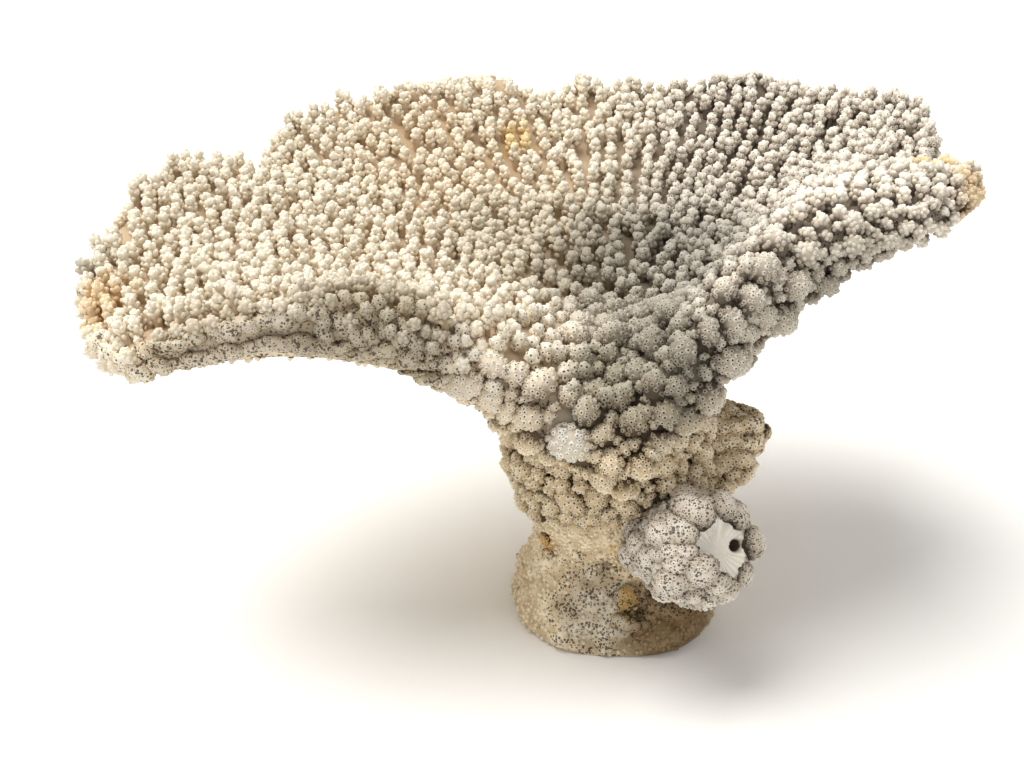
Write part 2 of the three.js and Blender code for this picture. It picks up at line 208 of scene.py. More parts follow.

# Outlines, as shares of length and radius, and how high each ring counts for its colour, which paints shade:
# darker down towards a branchlet's or cup's foot and in the cups' pits. A cup's cap lies deeper the more
# open it is. A pore is only a little raised round its edge.
BRANCHLET_PROFILE = [(0, 0.84), (0.4, 0.9), (0.74, 0.84), (0.93, 0.5)]
BRANCHLET_SHADE_LEVELS = (0.0, 0.1, 0.35, 0.55, 0.7)
CUP = {"profile": [(-0.4, 1.18), (0.9, 0.64)], "rise": (-0.3, 0.24, 0.2), "closed": 1.12, "opened": 0.45}
PORE = {"profile": [(-0.6, 1.7), (1.0, 1.0)], "rise": (0.0, 0.12, 0.1), "closed": 1.0, "opened": 0.25}
PIT_SHADE_LEVELS = (0, 0.12, 1)

# Rings of cups down a branchlet: height, count, tilt from its axis and distance from its middle.
BRANCHLET_CUPS = ((0.88, 4, 30, 0.55), (0.64, 5, 48, 0.82), (0.38, 3, 56, 0.86))

KNOBS_FROM = 56  # the height where the trunk's knobs start
KNOBS_CLIMB = 15  # how much higher they start at the front's right
KNOB_RINGS = (128, 102, 76, 50, 24)  # degrees from a knob's top
KNOB_SIDES = 9
SMOOTH_RINGS = (124, 106, 88, 70, 52, 34, 16)
SMOOTH_SIDES = 14
KNOB_UNEVEN = 0.45
# Painted shade and painted light on knobs: darker down their sides, lighter on their tops, and their bodies
# darker than the cups on them.
KNOB_SHADE_LEVEL = 0.28  # how high the middle of a knob's side counts, for its colour
SMOOTH_SHADE_LEVEL = 0.16  # the same for a smooth knob
PAINTED_TOP_LIGHT = 0.6  # how much higher the top of either counts
BODY_PAINTED_SHADE = 0.26  # how much deeper a knob's body counts than its cups
CUPS_DOWN = 1.25  # how far down a knob cups stand, from its top, by its half height
CELL = 0.87  # the area of one place in an even spread, by its spacing squared
PORE_RADIUS = 0.48
PORE_HEIGHT = 0.32
PORE_SPACING = 2.1
GOLDEN_ANGLE = 2.39996

# Lumps of knobs and of the fans' skins: height, size and seed
KNOB_LUMPS = [(1.3, 2.9, 31), (1.8, 6, 32)]
FAN_LUMPS = [(0.5, 6, 12), (0.25, 2.6, 13)]

ROW_START = 20  # the radius where the rows of branchlets start
FRONT_ROW_START = 33  # where they start above the lip, which is round the azimuth of the front's middle
FRONT_MIDDLE = 267.5
ROW_BEND = 2.6
ROW_JITTER = 0.85

# The left fan's rolled edge by azimuth: strands, the upper one from a little further on, then upright ribs.
RIDGE_START = 190.5
UPPER_STRAND_START = 191.6
STRANDS_END = 197.6
RIBS_END = 211

# Knobs set one by one. On the foot and trunk: azimuth, height, length, width, slant from level and whether
# smooth.
TRUNK_KNOBS = [
    (305, 20, 23, 9.5, -8, True),
    (274, 16, 15, 7, -12, True),
    (287, 14.5, 8, 5, 20, True),
    (276, 25, 11, 10, 0, True),
    (322, 27, 14, 8, 5, True),
    (198, 42, 8, 7, 40, True),
    (204, 37, 6, 5, 0, True),
    (238, 60, 11, 6.5, 5, False),
    (224, 59, 10, 6.5, -5, False),
    (256, 62, 10, 6, 10, False),
    (290, 70, 13, 11, 0, True),
    (250, 95, 14, 13, 0, False),
    (262, 90, 9, 8, 0, False),
    (239, 92, 9, 8, 0, False),
]
# On the rim: azimuth, turn up from its outermost line, length, width, slant from its run and whether smooth.
# The first is the big pale lump on the trunk's front.
RIM_KNOBS = [
    (242, 0, 17, 14, 5, False),
    (209.5, -22, 15, 11, 15, False),
    (214, -15, 12, 9, 60, False),
    (218, -22, 11, 7, 75, False),
    (222, -20, 11, 7, 80, False),
    (204.5, -58, 12, 8, 35, True),
    (206.5, -72, 11, 7, 30, True),
    (203, -20, 10, 8, 50, True),
    (174.5, -25, 10, 9, 0, True),
    (176, 20, 11, 9, 30, True),
    (177.5, 55, 9, 8, 60, True),
    (186, 40, 10, 9, 0, True),
    (187.2, 35, 9, 6, 0, True),
    (188.4, 25, 9, 6, 0, True),
    (189.6, 0, 9, 6.5, -20, True),
    (190.6, -35, 10, 8, -30, True),
    (10, 35, 9, 5.5, 20, False),
    (12, 0, 10, 5.5, -10, False),
]
# Holes in the skin: a place, a radius and a depth.
DENTS = [
    ((-171, -36, 139), 5.5, 6),
    ((6, -29, 19), 5, 2.5),
    ((16, -26, 28), 7, 3),
    ((40, -53.4, 66.2), 3.2, 4),
]
FOOT_PATCH = (-8, -33, 20)  # the middle of the foot's grey, porous patch
KNOB_GAP = 0.9  # how far apart knobs stand, as a share of their widths
ON_RIM = 60  # any radius past the fork, to tell which fan an azimuth of the rim belongs to
BOX_MARGIN = 1.2  # how far inside the solids' box every tip ends

# Places and radii to keep clear: the big pale lump on the trunk's front of other knobs, and the hole in the
# left tip of branchlets.
PALE_LUMP = ((-23, -43, 105), 9.5)
TIP_HOLE = ((-171, -36, 141), 7.5)

# Each kind of growth has random numbers of its own
STREAMS = {"bowl": 0, "walls": 1, "trunk": 2, "throat": 4, "foot": 5, "ridge": 6, "underside": 7}


# Numbers

def unit(vectors):
    return vectors / np.linalg.norm(vectors, axis=-1, keepdims=True)


def smoothstep(values, low, high):
    share = np.clip((np.asarray(values, float) - low) / (high - low), 0, 1)
    return share * share * (3 - 2 * share)


def mix(low, high, share):
    return low + (high - low) * share


def hashed(cells, seed):
    """Repeatable numbers from 0 to 1 for cells of a grid of whole numbers."""
    primes = np.array([374761393, 668265263, 2147483587], np.int64)
    mixed = (cells * primes).sum(-1) + seed * 1274126177
    mixed = (mixed ^ (mixed >> 13)) * 1103515245
    mixed = (mixed ^ (mixed >> 16)) & 0xFFFFFF
    return mixed / 0xFFFFFF


def noise(points, cell, seed=0):
    """Smooth noise from -1 to 1, with lumps about a cell across."""
    scaled = np.asarray(points, float) / cell
    low = np.floor(scaled).astype(np.int64)
    part = scaled - low
    part = part * part * (3 - 2 * part)
    total = np.zeros(scaled.shape[:-1])
    for corner in itertools.product((0, 1), repeat=3):
        weight = np.prod(np.where(corner, part, 1 - part), axis=-1)
        total += weight * hashed(low + np.array(corner), seed)
    return 2 * total - 1


def layered(points, layers):
    return sum(height * noise(points, size, seed) for height, size, seed in layers)


def stream(kind):
    return np.random.default_rng(SEED + STREAMS[kind])


def cubic(start, end, slope_in, slope_out, share):
    """A curve from start to end that leaves and arrives with the given slopes."""
    square, cube = share**2, share**3
    return (
        start * (2 * cube - 3 * square + 1)
        + slope_in * (cube - 2 * square + share)
        + end * (3 * square - 2 * cube)
        + slope_out * (cube - square)
    )


# Tables

def through_rows(rows, where):
    """Cubics between a table's rows, with slopes taken from the rows' neighbours."""
    at = np.clip(np.searchsorted(rows[:, 0], where, "right") - 1, 1, len(rows) - 3)
    before, start, end, after = (rows[at + i] for i in (-1, 0, 1, 2))
    span = end[..., :1] - start[..., :1]
    share = (np.asarray(where)[..., None] - start[..., :1]) / span
    slope_in = (end - before) / (end[..., :1] - before[..., :1]) * span
    slope_out = (after - start) / (after[..., :1] - start[..., :1]) * span
    return np.moveaxis(cubic(start, end, slope_in, slope_out, share)[..., 1:], -1, 0)


def around(table, azimuth):
    """The columns at azimuths of a table whose rows go round the full circle."""
    rows = np.array(table, float)
    turn = np.zeros(rows.shape[1])
    turn[0] = 360
    rows = np.vstack([rows[-1:] - turn, rows, rows[:2] + turn])
    turned = rows[1, 0] + np.mod(np.asarray(azimuth, float) - rows[1, 0], 360)
    return through_rows(rows, turned)


def along(table, where):
    """The value of a table that starts and ends."""
    rows = np.array(table, float)
    rows = np.vstack([rows[:1], rows, rows[-1:]])
    return through_rows(rows, np.clip(where, rows[0, 0], rows[-1, 0]))[0]


# The form of the table and the trunk

def polar(azimuth, radius, height):
    turn = np.radians(azimuth)
    parts = np.broadcast_arrays(radius * np.cos(turn), radius * np.sin(turn), height)
    return np.stack(parts, -1).astype(float)


def rim_radius(azimuth):
    return around(TABLE, azimuth)[0]


def neck_radius(azimuth):
    return around(TRUNK, azimuth)[1]


def top_height(azimuth, radius):
    """Height of the bowl's skin: a dish out to the fork, then by way of a height half way to the rim's."""
    rim, at_fork, half_way, at_rim, _, _ = around(TABLE, azimuth)
    curve = np.where(at_fork < THROAT_HEIGHT, LIP_CURVE, FLOOR_CURVE)
    dish = THROAT_HEIGHT + (at_fork - THROAT_HEIGHT) * np.minimum(radius / FORK_RADIUS, 1) ** curve
    halves = 2 * np.clip((radius - FORK_RADIUS) / (rim - FORK_RADIUS), 0, 1)
    middle_slope = (at_rim - at_fork) / 2
    inner = cubic(at_fork, half_way, half_way - at_fork, middle_slope, halves)
    outer = cubic(half_way, at_rim, middle_slope, at_rim - half_way, halves - 1)
    return np.where(radius <= FORK_RADIUS, dish, np.where(halves < 1, inner, outer))


def underside_height(azimuth, share):
    """Height of the underside, from the neck out to the rim."""
    rim, _, _, _, rim_thickness, under_fork = around(TABLE, azimuth)
    neck = neck_radius(azimuth)
    root_thickness = top_height(azimuth, neck) - under_fork
    thickness = rim_thickness + (root_thickness - rim_thickness) * (1 - share) ** ROOT_TAPER
    return top_height(azimuth, mix(neck, rim, share)) - thickness


def rim_normal(azimuth):
    """Which way the rim faces, seen from above."""
    step = 0.5
    before, after = (polar(turn, rim_radius(turn), 0) for turn in (azimuth - step, azimuth + step))
    run = unit(after - before)
    return np.stack([run[..., 1], -run[..., 0], np.zeros(run.shape[:-1])], -1)


def knobs_from(azimuth):
    """The height where the trunk's knobs take over from its smooth foot, highest at the front's right."""
    turned = np.mod(azimuth, 360)
    return KNOBS_FROM + KNOBS_CLIMB * smoothstep(turned, 225, 290) * (1 - smoothstep(turned, 330, 360))


def trunk_radius(azimuth, height):
    foot = around(TRUNK, azimuth)[0] + along(TRUNK_PROFILE, height)
    return mix(foot, neck_radius(azimuth), smoothstep(height, NECK_START, NECK_TOP))


def rim_wall(azimuth, turn):
    """A point of the rounded rim, at an angle up from its outermost line."""
    rim, _, _, at_rim, thickness, _ = around(TABLE, azimuth)
    bulge = np.minimum(RIM_BULGE * thickness, RIM_BULGE_LIMIT) * np.cos(np.radians(turn))
    height = at_rim + thickness / 2 * (np.sin(np.radians(turn)) - 1)
    return polar(azimuth, rim, height) + rim_normal(azimuth) * bulge[..., None]


# Meshes

class Pile:
    """Triangles that become one mesh. For its colour, each corner has how high it counts between the depths
    and the tips, which sets its painted shade, how deep it lies in a cup, which sets the painted shade in
    the cups' pits, and how porous the skin is there."""

    def __init__(self):
        self.corners, self.triangles, self.values = [], [], []
        self.count = 0

    def add(self, corners, triangles, height, pit=0.0, porous=0.0):
        self.corners.append(corners)
        self.triangles.append(triangles + self.count)
        self.values.append([np.broadcast_to(value, len(corners)) for value in (height, pit, porous)])
        self.count += len(corners)

    def add_many(self, corners, triangles, height, pit=0.0, porous=0.0):
        """Adds forms that all have the same triangles."""
        offsets = np.arange(len(corners))[:, None, None] * corners.shape[1]
        values = (np.ravel(value) for value in (height, pit, porous))
        self.add(corners.reshape(-1, 3), (triangles + offsets).reshape(-1, 3), *values)

    def add_grid(self, grid, height, porous, wrap_rows=False):
        triangles = grid_triangles(*grid.shape[:2], wrap_rows, wrap_columns=not wrap_rows)
        porous = np.broadcast_to(porous, height.shape).ravel()
        self.add(grid.reshape(-1, 3), triangles, height.ravel(), porous=porous)

    def add_lid(self, ring, middle, height):
        self.add(np.vstack([ring, middle]), capped(1, len(ring)), height)

    def mesh(self, name):
        corners = np.concatenate(self.corners) * MM
        triangles = np.concatenate(self.triangles)
        mesh = bpy.data.meshes.new(name)
        mesh.vertices.add(len(corners))
        mesh.vertices.foreach_set("co", corners.astype(np.float32).ravel())
        mesh.loops.add(3 * len(triangles))
        mesh.loops.foreach_set("vertex_index", triangles.astype(np.int32).ravel())
        mesh.polygons.add(len(triangles))
        mesh.polygons.foreach_set("loop_start", np.arange(0, 3 * len(triangles), 3, dtype=np.int32))
        for attribute, values in zip(("height", "pit", "porous"), np.concatenate(self.values, axis=1)):
            data = mesh.attributes.new(attribute, "FLOAT", "POINT").data
            data.foreach_set("value", values.astype(np.float32))
        mesh.update(calc_edges=True)
        mesh.shade_smooth()
        return mesh


def grid_triangles(rows, columns, wrap_rows=False, wrap_columns=False):
    """Triangles between the rows of a grid of corners, whose columns turn to the left of its rows."""
    row, column = np.meshgrid(
        np.arange(rows if wrap_rows else rows - 1),
        np.arange(columns if wrap_columns else columns - 1),
        indexing="ij",
    )
    next_row, next_column = (row + 1) % rows, (column + 1) % columns
    a, b = row * columns + column, row * columns + next_column
    c, d = next_row * columns + next_column, next_row * columns + column
    return np.concatenate([np.stack([a, b, c], -1).reshape(-1, 3), np.stack([a, c, d], -1).reshape(-1, 3)])


def capped(rings, sides):
    """Triangles of a stack of rings and of a lid on the last, whose middle comes after all rings."""
    last, side = (rings - 1) * sides, np.arange(sides)
    lid = np.stack([last + side, last + (side + 1) % sides, np.full(sides, last + sides)], -1)
    return np.concatenate([grid_triangles(rings, sides, wrap_columns=True), lid])


def grid_normals(grid, wrap_rows=False, wrap_columns=False):
    def slope(axis, wrap):
        if wrap:
            return np.roll(grid, -1, axis) - np.roll(grid, 1, axis)
        return np.gradient(grid, axis=axis)

    normals = np.cross(slope(1, wrap_columns), slope(0, wrap_rows))
    length = np.linalg.norm(normals, axis=-1, keepdims=True)
    return normals / np.maximum(length, 1e-9)


def across(axes):
    """Two directions at right angles to each axis and to each other."""
    helper = np.where(np.abs(axes[..., 2:]) < 0.9, [0.0, 0.0, 1.0], [1.0, 0.0, 0.0])
    first = unit(np.cross(helper, axes))
    return first, np.cross(axes, first)


def slanted(level, facing, slant):
    """A level direction along a skin, turned up by a slant."""
    turn = math.radians(slant)
    return level * math.cos(turn) + np.cross(facing, level) * math.sin(turn)


def add_lathes(pile, forms, profile, caps, sides, heights, pits):
    """Adds turned forms to a pile. A form is a foot, an axis, a radius, a length and a spin. Heights and
    pit shades have a value for each of a form's rings and its cap; both set painted shade."""
    feet, axes, radii, lengths, spins = forms[:, :3], forms[:, 3:6], forms[:, 6], forms[:, 7], forms[:, 8]
    first, second = across(axes)
    angle = spins[:, None] + np.arange(sides) * math.tau / sides
    ring = np.cos(angle)[..., None] * first[:, None] + np.sin(angle)[..., None] * second[:, None]
    rings = [
        feet[:, None] + axes[:, None] * (lengths * z)[:, None, None] + ring * (radii * r)[:, None, None]
        for z, r in profile
    ]
    cap = feet + axes * (lengths * caps)[:, None]
    corners = np.concatenate([*rings, cap[:, None]], axis=1)
    ring_of = np.append(np.repeat(np.arange(len(profile)), sides), len(profile))
    pile.add_many(corners, capped(len(profile), sides), heights[:, ring_of], pits[:, ring_of])


def on_knobs(knobs, rise, angle):
    """Points on rounded knobs and which way their skin faces. A knob is a middle, the directions of its
    length and its top, half its length, width and height, and how open its cups are."""
    middle, run, axis, half = knobs[..., 0:3], knobs[..., 3:6], knobs[..., 6:9], knobs[..., 9:12]
    local = np.stack([np.sin(rise) * np.cos(angle), np.sin(rise) * np.sin(angle), np.cos(rise)], -1)
    directions = np.stack([run, np.cross(axis, run), axis], -2)
    points = middle + ((local * half)[..., None] * directions).sum(-2)
    normals = unit(((local / half)[..., None] * directions).sum(-2))
    push = KNOB_UNEVEN * layered(points, KNOB_LUMPS)
    return points + normals * push[..., None], normals


def knob_shade_level(rise, base):
    # Painted light and shade: lighter on a knob's top, darker down its sides.
    return base + PAINTED_TOP_LIGHT * np.cos(rise)


def add_knob_bodies(pile, knobs, angles, sides, base, porous):
    """Adds the bodies of knobs, with a ring of corners at each of these angles from a knob's top."""
    rise = np.append(np.repeat(np.radians(angles), sides), 0)
    angle = np.append(np.tile(np.arange(sides) * math.tau / sides, len(angles)), 0)
    shape = (len(knobs), len(rise))
    rise, angle = np.broadcast_to(rise, shape), np.broadcast_to(angle, shape)
    corners, _ = on_knobs(np.broadcast_to(knobs[:, None], (*shape, knobs.shape[1])), rise, angle)
    pile.add_many(corners, capped(len(angles), sides), knob_shade_level(rise, base), porous=porous)


def cups_on_knobs(random, knobs, spacing, base):
    """Spreads cups evenly over knobs: where they stand, which way they and their knobs face, how high they
    count for their painted shade and how open they are."""
    length, width, height = knobs[:, 9], knobs[:, 10], knobs[:, 11]
    area = CUPS_DOWN * math.tau * (length * width + length * height + width * height) / 3
    counts = np.maximum(5, np.round(area / (CELL * spacing**2))).astype(int)
    owner = np.repeat(np.arange(len(knobs)), counts)
    step = np.arange(len(owner)) - np.repeat(np.cumsum(counts) - counts, counts)
    rise = np.arccos(1 - CUPS_DOWN * (step + random.uniform(0.15, 0.85, len(owner))) / counts[owner])
    spin = random.uniform(0, SPIN, len(knobs))[owner]
    angle = spin + step * GOLDEN_ANGLE + random.uniform(-0.3, 0.3, len(owner))
    points, normals = on_knobs(knobs[owner], rise, angle)
    return points, normals, knobs[owner, 6:9], knob_shade_level(rise, base), knobs[owner, 12]


def cup_forms(random, points, axes, radii, lengths, levels, openness):
    count = len(points)
    columns = [radii, lengths, random.uniform(0, SPIN, count), levels, openness]
    return np.column_stack([points, axes, *(np.broadcast_to(column, count) for column in columns)])


def pore_forms(random, points, normals, levels, openness):
    radii = PORE_RADIUS * random.uniform(0.7, 1.4, len(points))
    return cup_forms(random, points, normals, radii, PORE_HEIGHT, levels, openness)


def add_holed(pile, forms, profile, rise, closed, opened):
    """Adds cups or pores, whose caps lie deeper, with darker painted shade, the more open they are."""
    if forms:
        data = np.concatenate(forms)
        level, openness = data[:, 9:10], data[:, 10:11]
        caps = mix(closed, opened, data[:, 10])
        add_lathes(pile, data, profile, caps, CUP_SIDES, level + rise, openness * PIT_SHADE_LEVELS)


class Growth:
    """The branchlets and knobs of one piece: their bodies and the cups on them."""

    def __init__(self, seed):
        self.random = np.random.default_rng(SEED + seed)
        self.bodies, self.knobs, self.smooth_knobs = [], [], []
        self.cups, self.pores = [], []

    def cup(self, foot, axis, radius, length, level, openness):
        spin = self.random.random() * SPIN
        self.cups.append(np.array([[*foot, *axis, radius, length, spin, level, openness]]))

    def sides(self, axis, count, uneven):
        """Directions spread round an axis from a random start."""
        first, second = across(axis)
        start = self.random.random() * SPIN
        for k in range(count):
            angle = start + (k + self.random.uniform(-uneven, uneven)) * math.tau / count
            yield math.cos(angle) * first + math.sin(angle) * second

    def branchlet(self, foot, axis, width, height, openness):
        """One branchlet: a tapered stem, a cup on its tip, and rings of cups that look out and up."""
        random = self.random
        radius = width / 2 - 0.75 * CUP_RADIUS
        body = height - 0.7 * CUP_RADIUS
        self.bodies.append((*(foot - axis * SUNK), *axis, radius, body + SUNK, random.random() * SPIN))
        tip = foot + axis * (body - CUP_RADIUS / 2)
        size = CUP_RADIUS * random.uniform(1.0, 1.3)
        self.cup(tip, axis, size, random.uniform(1.4, 2.2), 0.85, openness * 0.6)
        for level, count, tilt, out in BRANCHLET_CUPS:
            for side in self.sides(axis, count, 0.22):
                rise = math.radians(tilt + random.uniform(-9, 9))
                cup_axis = side * math.sin(rise) + axis * math.cos(rise)
                at = foot + axis * body * (level + random.uniform(-0.06, 0.06)) + side * radius * out
                size = CUP_RADIUS * random.uniform(0.85, 1.2)
                self.cup(at, cup_axis, size, random.uniform(1.2, 1.9), level - 0.08, openness)

    def rosette(self, foot, axis, width, height, openness, tips):
        """A few branchlets that share a foot and lean apart."""
        for side in self.sides(axis, tips, 0.15):
            lean = unit(axis + side * self.random.uniform(0.12, 0.24))
            tall = height * self.random.uniform(0.86, 1.04)
            self.branchlet(foot + side * width * 0.21, lean, width * 0.62, tall, openness)

    def knob(self, foot, axis, width, height, openness, longer=1.0, run=None, smooth=False):
        """A rounded knob, either set with low cups or smooth with pores. It may be longer along a run."""
        run = self.random.normal(0, 1, 3) if run is None else run
        run = unit(run - axis * (run @ axis))
        rise = 0.8 * height
        middle = foot + axis * (height - rise)
        knobs = self.smooth_knobs if smooth else self.knobs
        knobs.append((*middle, *run, *axis, longer * width / 2, width / 2, rise, openness))

    def branchlet_pile(self):
        """The branchlets, and the cups and pores that stand on the skin itself."""
        pile = Pile()
        if self.bodies:
            data = np.array(self.bodies)
            heights = np.tile(BRANCHLET_SHADE_LEVELS, (len(data), 1))
            add_lathes(pile, data, BRANCHLET_PROFILE, np.ones(len(data)), BODY_SIDES, heights, 0 * heights)
        add_holed(pile, self.cups, **CUP)
        add_holed(pile, self.pores, **PORE)
        return pile

    def knob_pile(self):
        """The knobs, low cups on most of them and pores on the smooth ones."""
        pile = Pile()
        random = self.random
        if self.knobs:
            knobs = np.array(self.knobs)
            add_knob_bodies(pile, knobs, KNOB_RINGS, KNOB_SIDES, KNOB_SHADE_LEVEL - BODY_PAINTED_SHADE, 0.0)
            points, normals, axes, levels, opened = cups_on_knobs(random, knobs, CUP_SPACING, KNOB_SHADE_LEVEL)
            radii = 0.88 * CUP_RADIUS * random.uniform(0.85, 1.2, len(points))
            lengths = random.uniform(0.75, 1.4, len(points))
            feet, axes = points - 0.4 * normals, unit(normals + 0.25 * axes)
            add_holed(pile, [cup_forms(random, feet, axes, radii, lengths, levels, opened)], **CUP)
        if self.smooth_knobs:
            knobs = np.array(self.smooth_knobs)
            add_knob_bodies(pile, knobs, SMOOTH_RINGS, SMOOTH_SIDES, SMOOTH_SHADE_LEVEL, 1.0)
            points, normals, _, levels, opened = cups_on_knobs(random, knobs, PORE_SPACING, SMOOTH_SHADE_LEVEL)
            add_holed(pile, [pore_forms(random, points, normals, levels, opened)], **PORE)
        return pile


# Where things grow

def bowl_point(azimuth, radius):
    return polar(azimuth, radius, top_height(azimuth, radius))


def bowl_normal(azimuth, radius):
    step = 0.8
    turn = np.degrees(step / radius)
    run = bowl_point(azimuth + turn, radius) - bowl_point(azimuth - turn, radius)
    out = bowl_point(azimuth, radius + step) - bowl_point(azimuth, radius - step)
    return unit(np.cross(out, run))


def bowl_rows(start_radius, random):
    """Radial rows of branchlets. A new row starts where two have drawn apart. Each row is an azimuth and
    the radius that it starts from."""
    count = round(math.tau * start_radius / ROW_PITCH)
    rows = [(k * 360 / count + random.uniform(-3, 3), start_radius) for k in range(count)]
    for radius in np.arange(start_radius, LONGEST_RIM, 1.5):
        rows.sort()
        turned = [*rows, (rows[0][0] + 360, 0)]
        for (azimuth, _), (following, _) in zip(turned, turned[1:]):
            if math.radians(following - azimuth) * radius > ROW_PITCH * random.uniform(1.45, 1.75):
                middle = mix(azimuth, following, random.uniform(0.42, 0.58))
                if radius < rim_radius(middle):
                    rows.append((middle, radius))
    return sorted(rows)


def openness_at(point):
    """How wide the cups are, and so how dark the painted shade in their pits: closed and pale on the left
    and on top of the right arm, open and dark on the right and below."""
    side = smoothstep(point[0] - 0.2 * point[1], -95, 20)
    front = smoothstep(-point[1], -20, 35)
    low = smoothstep(150 - point[2], -5, 45)
    arm = smoothstep(point[0], 30, 60) * (1 - smoothstep(point[1], 30, 60))
    pale = smoothstep(point[2], 158, 170) * arm
    return float(np.clip(0.2 + 0.65 * side + 0.45 * front * low + 0.2 * low - 0.4 * pale, 0.1, 1))


def fan_at(azimuth, radius):
    """The name of the piece that stands at a place of the bowl."""
    if radius < FORK_RADIUS:
        return "trunk"
    first = FANS["right_fan"][0]
    turned = (azimuth - first) % 360 + first
    for name, (start, end) in FANS.items():
        if start <= turned < end:
            return name
    return "trunk"


def room_for(foot, axis, height):
    """The height that keeps a tip inside the solids' box."""
    low, high = (np.array(corner) / MM for corner in CAD_BOX)
    for k in range(3):
        limit = (high[k] - foot[k] if axis[k] > 0 else foot[k] - low[k]) - BOX_MARGIN
        reach = abs(axis[k]) * height + CUP_RADIUS
        if reach > limit:
            height = max(2.0, (limit - CUP_RADIUS) / max(abs(axis[k]), 0.05))
    return height


def row_start(azimuth):
    """The radius where branchlets take over from knobs."""
    away = abs((azimuth - FRONT_MIDDLE + 180) % 360 - 180)
    return mix(FRONT_ROW_START, ROW_START, float(smoothstep(away, 45, 85)))


def plant_bowl(growths):
    """Rows of branchlets out over the bowl, taller away from the throat and the right arm's front edge."""
    random = stream("bowl")
    rows = bowl_rows(ROW_START, random)
    azimuths = [azimuth for azimuth, _ in rows]
    up = np.array([0.0, 0.0, 1.0])
    hole, hole_radius = TIP_HOLE
    for k, (azimuth, start) in enumerate(rows):
        following = azimuths[k + 1] if k + 1 < len(rows) else azimuths[0] + 360
        before = azimuths[k - 1] if k else azimuths[-1] - 360
        rim = float(rim_radius(azimuth))
        radius = max(start, row_start(azimuth)) + random.uniform(0, STEP_PITCH)
        while radius < rim + 1:
            bend = ROW_BEND * float(noise([azimuth / 9, radius / 24, 0.0], 1, 5))
            bend += random.normal(0, ROW_JITTER)
            turn = azimuth + math.degrees(bend / radius)
            foot = bowl_point(turn, min(radius, rim))
            normal = bowl_normal(turn, min(radius, rim - 1))
            axis = unit(polar(turn, mix(0.3, 1.0, radius / rim), 1.0))
            axis = unit(mix(axis, up, 0.75) + 0.12 * normal + random.normal(0, 0.08, 3))
            gap = math.radians(following - before) / 2 * radius
            width = np.clip(gap * random.uniform(0.76, 0.98), *BRANCHLET_WIDTH)
            edge = float(smoothstep(rim - radius, 0, 14)) if turn % 360 > 290 or turn % 360 < 25 else 1.0
            inner = float(smoothstep(radius, 30, 55))
            height = random.uniform(*BRANCHLET_HEIGHT) * mix(0.6, 1, edge) * mix(0.7, 1, inner)
            height = room_for(foot, axis, height)
            growth = growths[fan_at(turn, radius)]
            openness = openness_at(foot)
            if np.linalg.norm(foot - hole) > hole_radius:
                if gap > 8.0 or random.random() < 0.06:
                    growth.rosette(foot, axis, width * 1.2, height, openness, 2 + (random.random() < 0.4))
                else:
                    growth.branchlet(foot, axis, width, height, openness)
            radius += STEP_PITCH * random.uniform(0.82, 1.2) * mix(0.75, 1, abs(float(normal[2])))


def scatter(points, widths, overlap):
    """Picks points in the order given, none nearer to another than a share of their mean width."""
    kept = []
    taken = np.empty((len(points), 4))
    for k, (point, width) in enumerate(zip(points, widths)):
        others = taken[: len(kept)]
        away = np.linalg.norm(others[:, :3] - point, axis=1)
        if (away >= overlap * (others[:, 3] + width) / 2).all():
            taken[len(kept)] = (*point, width)
            kept.append(k)
    return kept


def knob_widths(random, big, small, big_range, small_range):
    """Widths for knobs in the order they are planted: the big ones, and then small ones to fill gaps."""
    return np.concatenate([random.uniform(*big_range, big), random.uniform(*small_range, small)])


def plant_throat(growths):
    """Big knobs over the bowl's floor, down to its lip."""
    random = stream("throat")
    widths = knob_widths(random, 240, 3000, (6.5, 11), (4.2, 5.5))
    count = len(widths)
    azimuth = random.uniform(0, 360, count)
    limit = np.array([row_start(turn) for turn in azimuth]) + 4
    radius = np.minimum(limit, rim_radius(azimuth)) * np.sqrt(random.uniform(0, 1, count))
    points = bowl_point(azimuth, radius)
    normals = bowl_normal(azimuth, np.maximum(radius, 3))
    for k in scatter(points, widths, KNOB_GAP):
        axis = unit(normals[k] + [0, -0.1, 0.3] + random.normal(0, 0.14, 3))
        height = widths[k] * random.uniform(0.6, 0.95)
        openness, longer = openness_at(points[k]), random.uniform(1, 1.3)
        growths["trunk"].knob(points[k], axis, widths[k], height, openness, longer)


def rim_direction(azimuth, turn):
    """Which way the rounded rim faces, at an angle up from its outermost line."""
    normal = rim_normal(azimuth) * np.cos(np.radians(turn))[..., None]
    normal[..., 2] += np.sin(np.radians(turn))
    return unit(normal)


def plant_walls(growths):
    """Knobs on the edges of the table, the bigger the thicker it is. The left ridge has its own."""
    random = stream("walls")
    widths = knob_widths(random, 900, 14000, (0.45, 1.0), (0, 0.3))
    count = len(widths)
    azimuth = random.uniform(0, 360, count)
    turn = random.uniform(-88, 88, count)
    points = rim_wall(azimuth, turn)
    normals = rim_direction(azimuth, turn)
    thick = smoothstep(around(TABLE, azimuth)[4], 9, 28)
    widths = mix(mix(3.6, 3.4, thick), mix(5.4, 11.5, thick), widths)
    lump, lump_radius = PALE_LUMP
    taken = (azimuth > RIDGE_START) & (azimuth < RIBS_END)
    taken |= np.linalg.norm(points - lump, axis=1) < lump_radius
    for k in scatter(points, widths, KNOB_GAP):
        if not taken[k]:
            axis = unit(normals[k] + [0, 0, 0.25] + random.normal(0, 0.12, 3))
            height = room_for(points[k], axis, widths[k] * random.uniform(0.55, 0.9))
            name = fan_at(azimuth[k], ON_RIM)
            longer = random.choice([1, 1.15, 1.5])
            growths[name].knob(points[k], axis, widths[k], height, openness_at(points[k]), longer)


